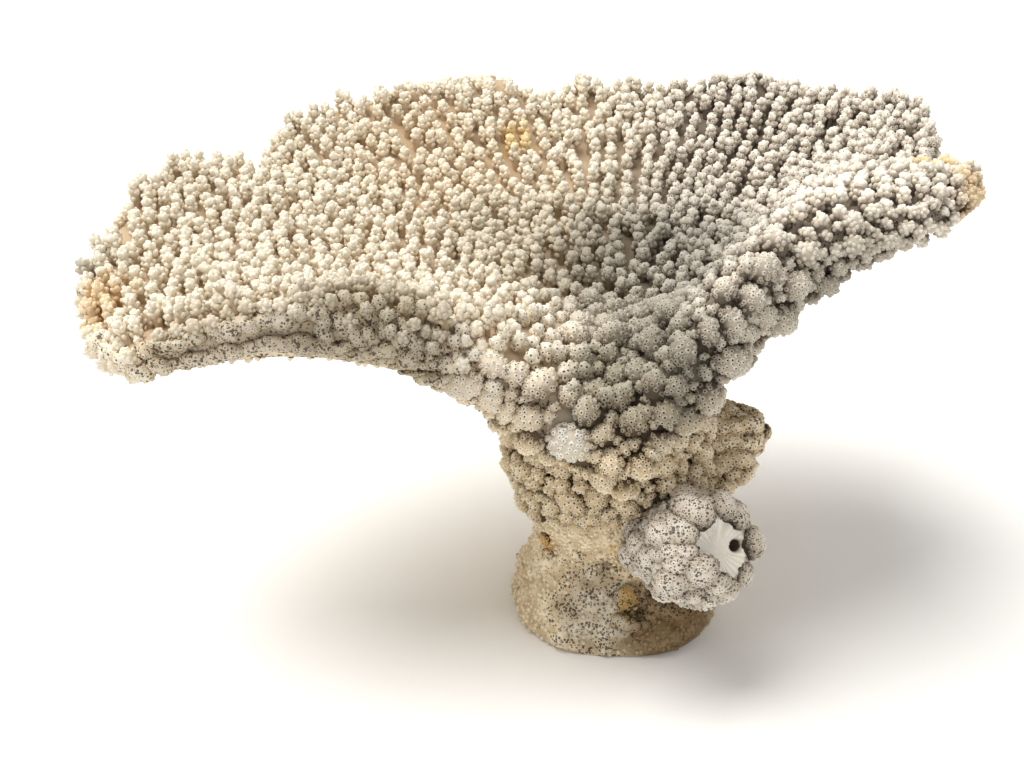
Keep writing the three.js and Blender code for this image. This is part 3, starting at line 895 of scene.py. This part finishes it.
def rim_knob(growths, azimuth, turn, length, width, slant, smooth, height, openness):
    """A knob on the rim, turned from the rim's run by a slant."""
    foot, axis = rim_wall(azimuth, turn), rim_direction(azimuth, turn)
    run = slanted(unit(np.cross([0, 0, 1], rim_normal(azimuth))), axis, slant)
    height = room_for(foot, axis, height)
    growth = growths[fan_at(azimuth, ON_RIM)]
    growth.knob(foot, axis, width, height, openness, length / width, run, smooth)


def plant_underside(growths):
    """Low nubs scattered under the fans."""
    random = stream("underside")
    count, spacing, room = 9000, 6.4, 3.0
    azimuth = random.uniform(0, 360, count)
    share = np.sqrt(random.uniform(0.15, 1, count))
    rim, neck = rim_radius(azimuth), neck_radius(azimuth)
    points = polar(azimuth, mix(neck, rim, share), underside_height(azimuth, share))
    for k in scatter(points, np.full(count, spacing), KNOB_GAP):
        name = fan_at(azimuth[k], float(np.linalg.norm(points[k, :2])))
        axis = unit(polar(azimuth[k], 0.35, -1.0) + random.normal(0, 0.2, 3))
        if room_for(points[k], axis, room) >= room:
            radius, length = random.uniform(1.0, 1.7), random.uniform(1.0, 2.2)
            growths[name].cup(points[k], axis, radius, length, 0.6, 0.6)


def rim_walk(start, end, random, low_pitch, high_pitch):
    """Azimuths spaced along the rim by distance."""
    fine = np.linspace(start, end, 500)
    steps = np.linalg.norm(np.diff(rim_wall(fine, 0), axis=0), axis=1)
    length = np.append(0, np.cumsum(steps))
    where = np.cumsum(random.uniform(low_pitch, high_pitch, int(length[-1] / low_pitch)))
    return np.interp(where[where < length[-1]], length, fine)


def scaled(size, low, high):
    return size * low, size * high


def drawn_knob(growths, random, azimuth, spans, openness):
    """A smooth knob on the rim, whose turn, length, width, slant and height are drawn in this order."""
    turn, length, width, slant, height = (random.uniform(*span) for span in spans)
    rim_knob(growths, azimuth, turn, length, width, slant, True, height, openness)


def plant_ridge(growths):
    """The knobs set one by one on the rim, and the left fan's rolled edge."""
    random = stream("ridge")
    for azimuth, turn, length, width, slant, smooth in RIM_KNOBS:
        rim_knob(growths, azimuth, turn, length, width, slant, smooth, 0.5 * width, 0.8)
    pore_ridge(growths["left_fan"], random)
    plant_strands(growths, random)
    plant_ribs(growths, random)
    plant_rib_tops(growths["left_fan"], random)


def pore_ridge(growth, random):
    """Fine pores all over the rolled edge."""
    count, spacing = 9000, 2.3
    azimuth = random.uniform(RIDGE_START, RIBS_END, count)
    turn = random.uniform(-80, 60, count)
    points = rim_wall(azimuth, turn)
    kept = scatter(points, np.full(count, spacing), KNOB_GAP)
    facing = rim_direction(azimuth[kept], turn[kept])
    growth.pores.append(pore_forms(random, points[kept] + 0.4 * facing, facing, 0.3, 1.0))


def plant_strands(growths, random):
    """Two strands of smooth knobs at the left tip, with a groove between them and small knobs on top."""
    for azimuth in rim_walk(RIDGE_START + 0.6, STRANDS_END + 0.5, random, 5.0, 7.5):
        thick = around(TABLE, azimuth)[4]
        lower = [(-44, -28), (8, 15), scaled(thick, 0.45, 0.7), (-30, 30), scaled(thick, 0.18, 0.32)]
        drawn_knob(growths, random, azimuth, lower, 0.9)
        if azimuth > UPPER_STRAND_START:
            upper = [(24, 44), (7, 14), scaled(thick, 0.3, 0.5), (-50, 20), scaled(thick, 0.15, 0.34)]
            drawn_knob(growths, random, azimuth, upper, 0.8)
            turn, height = random.uniform(60, 85), random.uniform(4, 6)
            rim_knob(growths, azimuth, turn, 6, 5, 0, False, height, 0.1)


def plant_ribs(growths, random):
    """Smooth ribs on the rolled edge: upright ones above, and two rows of flatter ones below them."""
    for azimuth in rim_walk(STRANDS_END - 0.4, RIBS_END, random, 3.6, 6.4):
        thick = around(TABLE, azimuth)[4]
        upright = [(-10, 30), scaled(thick, 0.3, 0.8), (3.6, 6.2), (70, 130), (1.6, 4.2)]
        drawn_knob(growths, random, azimuth, upright, 1.0)
        drawn_knob(growths, random, azimuth, [(-45, -5), (7, 15), (5, 9), (-40, 60), (1.2, 2.6)], 1.0)
        drawn_knob(growths, random, azimuth, [(-75, -45), (9, 15), (6, 9), (-20, 40), (1.6, 2.6)], 0.9)


def plant_rib_tops(growth, random):
    """Branchlets over the ribs, which reach down between some of them."""
    count = 1500
    azimuth = random.uniform(STRANDS_END - 1, RIBS_END, count)
    turn = random.uniform(5, 88, count)
    between = noise(np.stack([azimuth / 1.6, 0 * azimuth, 0 * azimuth], -1), 1, 9) > 0.1
    turn = np.where(between, turn, np.maximum(turn, 35))
    feet, facing = rim_wall(azimuth, turn), rim_direction(azimuth, turn)
    widths = random.uniform(4.4, 6.8, count)
    for k in scatter(feet, widths, 0.84):
        axis = unit(facing[k] + [0, 0, 0.6] + random.normal(0, 0.14, 3))
        height = room_for(feet[k], axis, random.uniform(3.5, 7.5))
        growth.branchlet(feet[k], axis, widths[k], height, random.uniform(0.2, 0.9))


def plant_trunk(growths):
    """Knobs on the trunk above its smooth foot. In front they go on a little way up the bowl's lip."""
    random = stream("trunk")
    growth = growths["trunk"]
    placed = []
    for azimuth, height, length, width, slant, smooth in TRUNK_KNOBS:
        point, normal = trunk_surface(azimuth, height)
        run = slanted(unit(np.cross([0, 0, 1], normal)), normal, slant)
        growth.knob(point, normal, width, width * 0.45, 1, length / width, run, smooth)
        placed.append(point)
    widths = knob_widths(random, 420, 9000, (5.6, 9.5), (3.7, 5.2))
    widths[: len(placed)] = [(row[2] + row[3]) / 2 for row in TRUNK_KNOBS]
    count = len(widths)
    azimuth = random.uniform(0, 360, count)
    under = around(TABLE, azimuth)[5]
    front = smoothstep(azimuth, 240, 260) * (1 - smoothstep(azimuth, 325, 350))
    start = knobs_from(azimuth) + 5 * noise(polar(azimuth, 40, 0), 14, 3)
    height = mix(start, under + 4 + 7 * front, random.uniform(0, 1, count))
    out = trunk_radius(azimuth, np.minimum(height, under)) + 0.8 * np.maximum(height - under, 0) * front
    points = polar(azimuth, out, height)
    points[: len(placed)] = placed
    for k in scatter(points, widths, KNOB_GAP):
        if k >= len(placed):
            axis = unit(polar(azimuth[k], 1.0, 0.3) + random.normal(0, 0.14, 3))
            tall = widths[k] * random.uniform(0.66, 0.92)
            openness, longer = openness_at(points[k]), random.choice([1, 1, 1.3, 1.6])
            growth.knob(points[k], axis, widths[k], tall, openness, longer)


def plant_foot(growths):
    """Pores and low cups all over the smooth foot, open and with darker painted shade in them on a grey
    patch in front.
    """
    random = stream("foot")
    count, spacing = 14000, 2.05
    azimuth = random.uniform(0, 360, count)
    height = mix(1.2, knobs_from(azimuth) + 3, random.uniform(0, 1, count))
    points, normals = trunk_surface(azimuth, height)
    kept = scatter(points, np.full(count, spacing), KNOB_GAP)
    points, normals = points[kept], normals[kept]
    patch = on_foot_patch(points)
    porous = random.uniform(0, 1, len(kept)) < mix(0.3, 0.85, patch)
    openness = mix(0.55, 1.0, patch[porous])
    growth = growths["trunk"]
    growth.pores.append(pore_forms(random, points[porous], normals[porous], 0.62, openness))
    points, normals = points[~porous], normals[~porous]
    radii = 0.95 * random.uniform(0.75, 1.25, len(points))
    lengths = random.uniform(0.6, 1.5, len(points))
    axes = unit(normals + random.normal(0, 0.2, points.shape))
    growth.cups.append(cup_forms(random, points, axes, radii, lengths, 0.74, 0.4))


# Skins

def dented(grid, normals):
    """Pushes holes into a skin, and says how deep each point lies in one."""
    depths = np.zeros(grid.shape[:-1])
    for place, radius, depth in DENTS:
        share = 1 - smoothstep(np.linalg.norm(grid - place, axis=-1), 0.35 * radius, radius)
        depths = np.maximum(depths, depth * share)
    return grid - normals * depths[..., None], depths


def footness(points):
    """1 on the smooth foot, 0 among the knobs."""
    azimuth = np.degrees(np.arctan2(points[..., 1], points[..., 0]))
    return 1 - smoothstep(points[..., 2] - knobs_from(azimuth), -5, 5)


def on_foot_patch(points):
    """1 on the foot's grey patch in front, 0 away from it."""
    away = np.linalg.norm(points - np.array(FOOT_PATCH), axis=-1) + 7 * noise(points, 8, 41)
    return smoothstep(away, 34, 18)


def foot_porous(points):
    """How densely the foot's skin is set with fine pores: most on the grey patch in front."""
    return footness(points) * mix(0.35, 0.98, on_foot_patch(points))


def trunk_push(points):
    """How far the trunk's skin stands out from its plain form."""
    foot = footness(points)
    push = 0.9 * noise(points, 13, 21) + mix(0.3, 1.6, foot) * noise(points, 6, 22)
    return (push + mix(0.2, 1.3, foot) * noise(points, 2.9, 23)) * smoothstep(points[..., 2], 0, 3)


def trunk_surface(azimuth, height):
    """Points on the trunk's skin, and which way it faces."""
    def at(turn, rise):
        plain = polar(turn, trunk_radius(turn, rise), rise)
        return plain + polar(turn, 1, 0) * trunk_push(plain)[..., None]

    run = at(azimuth + 0.7, height) - at(azimuth - 0.7, height)
    climb = at(azimuth, height + 0.5) - at(azimuth, height - 0.5)
    return at(azimuth, height), unit(np.cross(run, climb))


def fan_skin(name):
    """A fan's closed skin: out over the bowl, round the rim, back under the table and up its root."""
    start, end = FANS[name]
    columns = round(math.radians(end - start) * FAN_REACH / SKIN_STEP)
    azimuth = np.linspace(start - SKIN_OVERLAP, end + SKIN_OVERLAP, columns)
    rim, neck = rim_radius(azimuth), neck_radius(azimuth)
    out = np.linspace(0, 1, SKIN_ROWS)[:, None]
    top = bowl_point(azimuth, mix(FAN_ROOT, rim, out))
    wall = [rim_wall(azimuth, turn) for turn in np.linspace(WALL_TURN, -WALL_TURN, 9)]
    share = mix(np.maximum((FAN_ROOT - neck) / (rim - neck), 0), 1, out[::-1])
    bottom = polar(azimuth, mix(neck, rim, share), underside_height(azimuth, share))
    grid = np.stack([*top, *wall, *bottom])
    normals = grid_normals(grid, wrap_rows=True)
    reach = np.linalg.norm(grid[..., :2], axis=-1)
    ridges = [np.broadcast_to(azimuth / 3.2, reach.shape), reach / 38, np.sign(normals[..., 2]) * 3]
    push = 1.1 * noise(np.stack(ridges, -1), 1, 11) + layered(grid, FAN_LUMPS)
    grid, depths = dented(grid + normals * push[..., None], normals)
    side = np.repeat([0, 1, 2], [len(top), len(wall), len(bottom)])[:, None]
    on_ridge = (side == 1) & (azimuth > RIDGE_START) & (azimuth < RIBS_END)
    base = np.where(on_ridge, RIDGE_SHADE_LEVEL, np.array(FAN_SHADE_LEVELS)[side])
    pile = Pile()
    # Painted shade: the top's skin dark under the branchlets, the rim and underside lighter, and darker
    # where the skin sinks and in holes.
    pile.add_grid(grid, base + 0.1 * push - 0.15 * depths, np.where(side > 0, 1.0, 0.0), wrap_rows=True)
    return pile


def trunk_skin():
    """The trunk's closed skin: up its side, out under the table, round the lip and in over the bowl."""
    azimuth = np.linspace(0, 360, TRUNK_COLUMNS, endpoint=False)
    rim, _, _, _, _, under = around(TABLE, azimuth)
    neck = neck_radius(azimuth)
    edge = np.minimum(rim, FORK_RADIUS + 2)
    heights = [*np.linspace(0, KNOBS_FROM, 50)]
    heights += [mix(KNOBS_FROM, under, share) for share in np.linspace(0, 1, 22)[1:]]
    side = [polar(azimuth, trunk_radius(azimuth, height), height) for height in heights]
    share = (edge - neck) / (rim - neck) * np.linspace(0, 1, 6)[1:, None]
    beneath = polar(azimuth, mix(neck, rim, share), underside_height(azimuth, share))
    low, high = beneath[-1], bowl_point(azimuth, edge)
    rounded = smoothstep(edge / rim, 0.9, 1)[:, None]
    wall = []
    for turn in np.linspace(-WALL_TURN, WALL_TURN, 13):
        climbed = (math.sin(math.radians(turn)) + 1) / 2
        wall.append(mix(mix(low, high, climbed), rim_wall(azimuth, turn), rounded))
    bowl = bowl_point(azimuth, edge * np.linspace(1, 0.03, 24)[:, None])
    grid = np.stack([*side, *beneath, *wall, *bowl])
    push, foot = trunk_push(grid), footness(grid)
    normals = grid_normals(grid, wrap_columns=True)
    facing = mix(normals, polar(azimuth, 1, 0), foot[..., None])
    grid, depths = dented(grid + facing * push[..., None], normals)
    grid[0, :, 2] = 0
    pile = Pile()
    # Painted shade: the skin among the knobs far darker than the smooth foot, and darker where it sinks and
    # in holes.
    pile.add_grid(grid, mix(0.06, 0.7, foot) + 0.2 * push - 0.12 * depths, foot_porous(grid))
    pile.add_lid(grid[0][::-1], np.zeros(3), 0.3)
    pile.add_lid(grid[-1], np.array([0.0, 0.0, THROAT_HEIGHT]), 0.1)
    return pile


def stub_skin(pile, stub, branch, seed):
    """A broken branch: a knobbly cylinder that ends in a dished break with flutes."""
    start, length, radius = branch
    columns, rows = stub["grid"]
    axis = unit(np.array(stub["towards"]))
    first, second = across(axis)
    angle = np.linspace(0, math.tau, columns, endpoint=False)
    ring = np.cos(angle)[:, None] * first + np.sin(angle)[:, None] * second
    shares = np.linspace(0, 1, rows)
    widths = along(stub["profile"], shares) * radius
    side = start + axis * (shares * length)[:, None, None] + ring * widths[:, None, None]
    push = 0.8 * noise(side, 7, seed) + 0.4 * noise(side, 3, seed + 1)
    side = side + grid_normals(side, wrap_columns=True) * push[..., None]
    inwards = np.linspace(0.95, 0.08, 12)[:, None]
    flutes = 0.24 * np.sin(angle * FLUTES + 7 * noise(ring, 0.5, seed)) * smoothstep(inwards, 0.2, 0.7)
    dish = 1.8 * (inwards**2 - 1) + flutes + 0.5 * noise(ring * inwards[..., None], 0.35, seed)
    face = start + axis * (length + dish)[..., None] + ring * (inwards * widths[-1])[..., None]
    grid = np.concatenate([side, face])
    grid, depths = dented(grid, np.broadcast_to(axis, grid.shape))
    # Painted shade: the skin darker where knobs crowd it and where it sinks, the break's flute grooves
    # darker than their ridges, and every hole darker.
    root = mix(0.62, 0.12, smoothstep(shares, 0.4, 0.7) * (1 - smoothstep(shares, 0.9, 0.97)))[:, None]
    level = np.concatenate([root + 0.25 * push, 0.88 + 0.6 * flutes]) - 0.5 * depths
    pile.add_grid(grid, level, np.repeat([0.8, 0.0], [len(side), len(face)])[:, None])
    pile.add_lid(grid[-1], face[-1].mean(0), 0.9)


def plant_stub(growth, stub, branch, smooth, seed):
    """Knobs round a broken branch, and round the edge of its break."""
    random = np.random.default_rng(SEED + seed)
    start, length, radius = branch
    axis = unit(np.array(stub["towards"]))
    first, second = across(axis)
    least, most = stub["widths"]
    widths = knob_widths(random, 120, 2500, (mix(least, most, 0.5), most), (least, mix(least, most, 0.3)))
    count = len(widths)
    place = random.uniform(stub["bare"], 1.06, count)
    angle = random.uniform(0, math.tau, count)
    side = np.cos(angle)[:, None] * first + np.sin(angle)[:, None] * second
    over = smoothstep(side @ LOW_LEFT, 0.1, 0.6)
    share = np.minimum(np.minimum(place, 1), mix(0.93, 1, over))
    inwards = 1 - 4 * np.maximum(place - 1, 0) * over
    out = 0.9 * along(stub["profile"], share) * radius * inwards
    points = start + axis * (share * length)[:, None] + side * out[:, None]
    for k in scatter(points, widths, 0.63):
        forwards = mix(0.1, 0.9, smoothstep(share[k], 0.75, 1))
        facing = unit(side[k] + axis * forwards + random.normal(0, 0.08, 3))
        height = room_for(points[k], facing, widths[k] * random.uniform(*stub["heights"]))
        longer = stub["longer"] * random.uniform(0.9, 1.2)
        growth.knob(points[k], facing, widths[k], height, 1.0, longer, axis, smooth)


# Materials

# Colours from the tips of branchlets, half way down and in the depths between them. The tips hold the
# skeleton's own cream, grey and tan. The darkening towards the depths is partly its own darker tone and
# partly painted shade, and the near-black depths of the trunk and the stub are painted shade.
CREAM = [(0.88, 0.82, 0.7), (0.84, 0.74, 0.57), (0.56, 0.43, 0.29)]
GREY = [(0.87, 0.82, 0.73), (0.58, 0.51, 0.42), (0.15, 0.122, 0.094)]
TAN = [(0.9, 0.79, 0.59), (0.64, 0.5, 0.31), (0.08, 0.054, 0.028)]
STUB = [(0.84, 0.8, 0.72), (0.56, 0.49, 0.4), (0.05, 0.038, 0.025)]
# Painted shade in the pits of cups and in fine pores.
PIT_SHADE = (0.03, 0.022, 0.016)

# Tinted patches: a place and a radius in metres, and the tint. Several are the skeleton's own stains and
# tones; the ones marked below are painted shade and painted light.
TINTS_SHADE_AND_LIGHT = [
    ((-0.196, -0.006, 0.143), 0.013, (0.98, 0.86, 0.7)),
    ((-0.207, 0.015, 0.147), 0.011, (0.72, 0.73, 0.75)),
    ((0.124, 0.038, 0.181), 0.012, (1.0, 0.84, 0.55)),
    ((0.138, 0.024, 0.177), 0.015, (0.95, 0.8, 0.6)),
    ((-0.039, 0.130, 0.174), 0.010, (1.0, 0.86, 0.58)),
    # Partly the valley's own greyer tone and partly painted shade from the right fan.
    ((0.018, 0.030, 0.142), 0.052, (0.56, 0.56, 0.55)),
    ((-0.032, 0.056, 0.154), 0.042, (0.78, 0.77, 0.74)),
    ((0.022, 0.078, 0.163), 0.042, (0.82, 0.82, 0.81)),
    ((-0.0235, -0.0470, 0.1055), 0.011, (1.02, 1.12, 1.3)),
    ((0.012, -0.022, 0.048), 0.016, (0.94, 0.84, 0.66)),
    ((-0.010, -0.034, 0.022), 0.020, (0.76, 0.79, 0.85)),
    ((0.003, -0.032, 0.026), 0.006, (0.95, 0.76, 0.42)),
    ((-0.033, -0.010, 0.042), 0.007, (0.97, 0.8, 0.52)),
    # Painted shade on the front of the trunk's top, which faces away from the light.
    ((0.005, -0.036, 0.131), 0.030, (0.52, 0.52, 0.49)),
    # Painted shade on the front of the left fan's rolled edge.
    ((-0.094, -0.046, 0.143), 0.034, (0.6, 0.58, 0.53)),
    ((-0.149, -0.045, 0.140), 0.026, (0.8, 0.78, 0.74)),
    ((0.087, -0.011, 0.155), 0.027, (0.68, 0.68, 0.66)),
    # Painted light, also cooler, on the trunk's right side round the side stub, where it lies in shade.
    ((0.068, -0.012, 0.084), 0.022, (1.1, 1.15, 1.25)),
    # Painted light on top of the right arm.
    ((0.080, 0.012, 0.174), 0.034, (1.15, 1.15, 1.15)),
    ((0.026, -0.028, 0.010), 0.025, (0.36, 0.3, 0.23)),
    ((-0.080, 0.110, 0.175), 0.040, (1.0, 0.97, 0.93)),
    ((0.050, -0.030, 0.150), 0.030, (0.86, 0.86, 0.84)),
]


class Nodes:
    """Short ways to add and join the nodes of one material."""

    def __init__(self, material):
        material.use_nodes = True
        self.nodes = material.node_tree.nodes
        self.links = material.node_tree.links
        self.shader = self.nodes["Principled BSDF"]

    def new(self, kind, inputs=(), **settings):
        node = self.nodes.new("ShaderNode" + kind)
        for name, value in settings.items():
            setattr(node, name, value)
        for name, value in dict(inputs).items():
            if isinstance(value, bpy.types.NodeSocket):
                self.links.new(value, node.inputs[name])
            else:
                node.inputs[name].default_value = value
        return node

    def attribute(self, name):
        return self.new("Attribute", attribute_name=name).outputs["Fac"]

    def number(self, operation, first, second):
        return self.new("Math", {0: first, 1: second}, operation=operation).outputs["Value"]

    def vector(self, operation, first, second=(0.0, 0.0, 0.0), result="Vector"):
        return self.new("VectorMath", {0: first, 1: second}, operation=operation).outputs[result]

    def grain(self, place, scale, detail, roughness=0.5, result="Fac"):
        inputs = {"Vector": place, "Scale": scale, "Detail": detail, "Roughness": roughness}
        return self.new("TexNoise", inputs).outputs[result]

    def span(self, value, low, high):
        """The value as a smooth share of the way from low to high."""
        inputs = {"Value": value, "From Min": low, "From Max": high}
        return self.new("MapRange", inputs, interpolation_type="SMOOTHSTEP").outputs["Result"]

    def blend(self, factor, first, second, kind="MIX"):
        node = self.new("Mix", data_type="RGBA", blend_type=kind)
        for name, value in (("Factor", factor), ("A", first), ("B", second)):
            if isinstance(value, bpy.types.NodeSocket):
                self.links.new(value, node.inputs[name])
            else:
                node.inputs[name].default_value = (*value, 1) if name != "Factor" else value
        return node.outputs["Result"]

    def ramp(self, factor, palette):
        pale, middle, deep = palette
        upper = self.span(factor, 0.5, 1.0)
        lower = self.span(factor, 0.0, 0.5)
        return self.blend(upper, self.blend(lower, deep, middle), pale)


def colour_with_depth_shade(tree, place):
    """The colour with painted shade by depth, darker the deeper a point lies: cream on the left, grey on the
    right and in front, and tan on the trunk.
    """
    height = tree.attribute("height")
    split = tree.new("SeparateXYZ", {"Vector": place})
    sideways = tree.vector("DOT_PRODUCT", place, (1.0, -0.2, 0.0), "Value")
    front = tree.span(split.outputs["Y"], -0.036, -0.050)
    right = tree.number("MAXIMUM", tree.span(sideways, -0.05, 0.03), front)
    low = tree.span(split.outputs["Z"], 0.14, 0.085)
    away = tree.vector("LENGTH", tree.vector("MULTIPLY", place, (1.0, 1.0, 0.0)), result="Value")
    trunk = tree.number("MULTIPLY", low, tree.span(away, 0.085, 0.06))
    colour = tree.blend(right, tree.ramp(height, CREAM), tree.ramp(height, GREY))
    return tree.blend(trunk, colour, tree.ramp(height, TAN))


def tinted(tree, place, colour):
    """The colour with its patches of stain, painted shade and painted light, whose edges wander a little."""
    drift = tree.vector("SUBTRACT", tree.grain(place, 90.0, 2.0, result="Color"), (0.5, 0.5, 0.5))
    drifted = tree.vector("ADD", place, tree.vector("MULTIPLY", drift, (0.02, 0.02, 0.02)))
    for where, radius, tint in TINTS_SHADE_AND_LIGHT:
        away = tree.vector("DISTANCE", drifted, where, "Value")
        share = tree.span(away, 1.25 * radius, 0.6 * radius)
        colour = tree.blend(share, colour, tint, "MULTIPLY")
    return colour


def fine_pores(tree, place):
    """How dark the painted shade in the fine pores of the porous skin is, in pores of many sizes and with
    bare skin between some.
    """
    cells = {"Vector": place, "Scale": 740.0, "Randomness": 0.85}
    cells = tree.new("TexVoronoi", cells).outputs["Distance"]
    reach = {"Value": tree.grain(place, 260.0, 3.0), "From Min": 0.22, "From Max": 0.58, "To Max": 0.56}
    reach = tree.new("MapRange", reach).outputs["Result"]
    depth = tree.number("SUBTRACT", tree.number("MULTIPLY", reach, tree.attribute("porous")), cells)
    return tree.number("MULTIPLY", tree.span(depth, -0.02, 0.16), 0.82)


def coral_material(name, palette):
    """Chalky skeleton with painted shade, darker the deeper it lies, with a palette of its own or the
    colours by place.
    """
    material = bpy.data.materials.new(name)
    tree = Nodes(material)
    tree.shader.inputs["Roughness"].default_value = 0.85
    tree.shader.inputs["Specular IOR Level"].default_value = 0.2
    place = tree.new("TexCoord").outputs["Object"]
    colour = tree.ramp(tree.attribute("height"), palette) if palette else colour_with_depth_shade(tree, place)
    colour = tinted(tree, place, colour)
    # Painted shade in the cups' pits, darker the deeper a corner lies in a cup.
    colour = tree.blend(tree.span(tree.attribute("pit"), 0.28, 0.72), colour, PIT_SHADE)
    pores = fine_pores(tree, place)
    # Painted shade in the fine pores.
    tree.links.new(tree.blend(pores, colour, PIT_SHADE), tree.shader.inputs["Base Color"])
    rough = tree.number("SUBTRACT", tree.grain(place, 900.0, 4.0, 0.65), pores)
    bump = tree.new("Bump", {"Strength": 0.8, "Distance": 0.0007, "Height": rough}).outputs["Normal"]
    tree.links.new(bump, tree.shader.inputs["Normal"])
    return material


# The whole coral

def place_piece(pile, name, node, slot, material):
    piece = bpy.data.objects.new(name, pile.mesh(name))
    bpy.context.scene.collection.objects.link(piece)
    piece.data.materials.append(material)
    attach(piece, "root")
    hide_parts(node)


def coral_skins():
    """The skin of each piece, by the name of its node."""
    piles = {name: fan_skin(name) for name in FANS}
    piles["trunk"] = trunk_skin()
    for name, stub in STUBS.items():
        piles[name] = Pile()
        for k, branch in enumerate(stub["branches"]):
            stub_skin(piles[name], stub, branch, stub["seed"] + STUB_SKIN_SEED + k)
    return piles


def grown():
    """The branchlets and knobs of each piece, by the name of its node."""
    growths = {name: Growth(k) for k, name in enumerate(SLOTS)}
    plant_bowl(growths)
    plant_throat(growths)
    plant_walls(growths)
    plant_ridge(growths)
    plant_underside(growths)
    plant_foot(growths)
    plant_trunk(growths)
    for name, stub in STUBS.items():
        for k, branch in enumerate(stub["branches"]):
            plant_stub(growths[name], stub, branch, k == 0, stub["seed"] + k)
    return growths


def build():
    palettes = {"cream_table": None, "grey_table": None, "tan_trunk": None, "grey_stub": STUB}
    materials = {slot: coral_material(slot, palette) for slot, palette in palettes.items()}
    growths = grown()
    for name, pile in coral_skins().items():
        place_piece(pile, f"{name}_skin", name, SLOTS[name], materials[SLOTS[name]])
    for name, growth in growths.items():
        for part, pile in (("branchlets", growth.branchlet_pile()), ("knobs", growth.knob_pile())):
            if pile.count:
                place_piece(pile, f"{name}_{part}", name, SLOTS[name], materials[SLOTS[name]])


# The stage

FLOOR_REACH = 6.0
FLOOR_DROP = 0.0002  # how far the floor lies under the foot, so that the two don't share a plane

# Lamps: where each shines from, how wide and how strong it is, and its colour.
LAMPS = {
    "key": ((-0.5, 0.15, 1.3), 48, 3.6, (1.0, 0.97, 0.92)),
    "fill": ((0.7, -1.0, 0.5), 70, 0.12, (1.0, 0.98, 0.95)),
}

CAMERA_TILT = 25
CAMERA_DISTANCE = 0.540
CAMERA_FOCUS = 1256 / 512  # by half the picture's width
CAMERA_AIM = (-0.043, 0.0972)  # in the picture's plane through the origin, to the right and up


def set_stage():
    floor_mesh = bpy.data.meshes.new("floor")
    corners = [(-1, -1), (1, -1), (1, 1), (-1, 1)]
    floor_mesh.from_pydata([(x * FLOOR_REACH, y * FLOOR_REACH, 0) for x, y in corners], [], [range(4)])
    floor = bpy.data.objects.new("floor", floor_mesh)
    floor.location.z = -FLOOR_DROP
    bpy.context.scene.collection.objects.link(floor)
    paint = bpy.data.materials.new("floor_paint")
    paint.use_nodes = True
    paint.node_tree.nodes["Principled BSDF"].inputs["Base Color"].default_value = (0.9, 0.9, 0.9, 1)
    paint.node_tree.nodes["Principled BSDF"].inputs["Roughness"].default_value = 0.9
    floor_mesh.materials.append(paint)
    floor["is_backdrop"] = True

    world = bpy.data.worlds.new("studio")
    bpy.context.scene.world = world
    world.use_nodes = True
    world.node_tree.nodes["Background"].inputs["Color"].default_value = (1.0, 0.98, 0.95, 1)
    world.node_tree.nodes["Background"].inputs["Strength"].default_value = 0.6

    for name, lamp in LAMPS.items():
        add_light(name, *lamp)


def add_light(name, away, spread, strength, color):
    """A broad, soft light that shines on everything alike."""
    light = bpy.data.lights.new(name, "SUN")
    light.angle = math.radians(spread)
    light.energy = strength
    light.color = color
    lamp = bpy.data.objects.new(name, light)
    x, y, z = away
    lamp.location = away
    lamp.rotation_euler = (math.acos(z / math.hypot(x, y, z)), 0, math.atan2(y, x) + math.pi / 2)
    bpy.context.scene.collection.objects.link(lamp)


def set_camera():
    """From in front and above, at arm's length."""
    tilt = math.radians(CAMERA_TILT)
    data = bpy.data.cameras.new("camera")
    data.sensor_fit = "HORIZONTAL"
    data.angle = 2 * math.atan(1 / CAMERA_FOCUS)
    camera = bpy.data.objects.new("camera", data)
    right, up = CAMERA_AIM
    target = np.array([right, up * math.sin(tilt), up * math.cos(tilt)])
    camera.location = target - CAMERA_DISTANCE * np.array([0, math.cos(tilt), -math.sin(tilt)])
    camera.rotation_euler = (math.pi / 2 - tilt, 0, 0)
    bpy.context.scene.collection.objects.link(camera)
    bpy.context.scene.camera = camera


build()
set_stage()
set_camera()
bpy.context.scene.view_settings.view_transform = "Standard"

boxes = {"cad": CAD_BOX, "visual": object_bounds()}
{name: [list(corner) for corner in box] for name, box in boxes.items()}
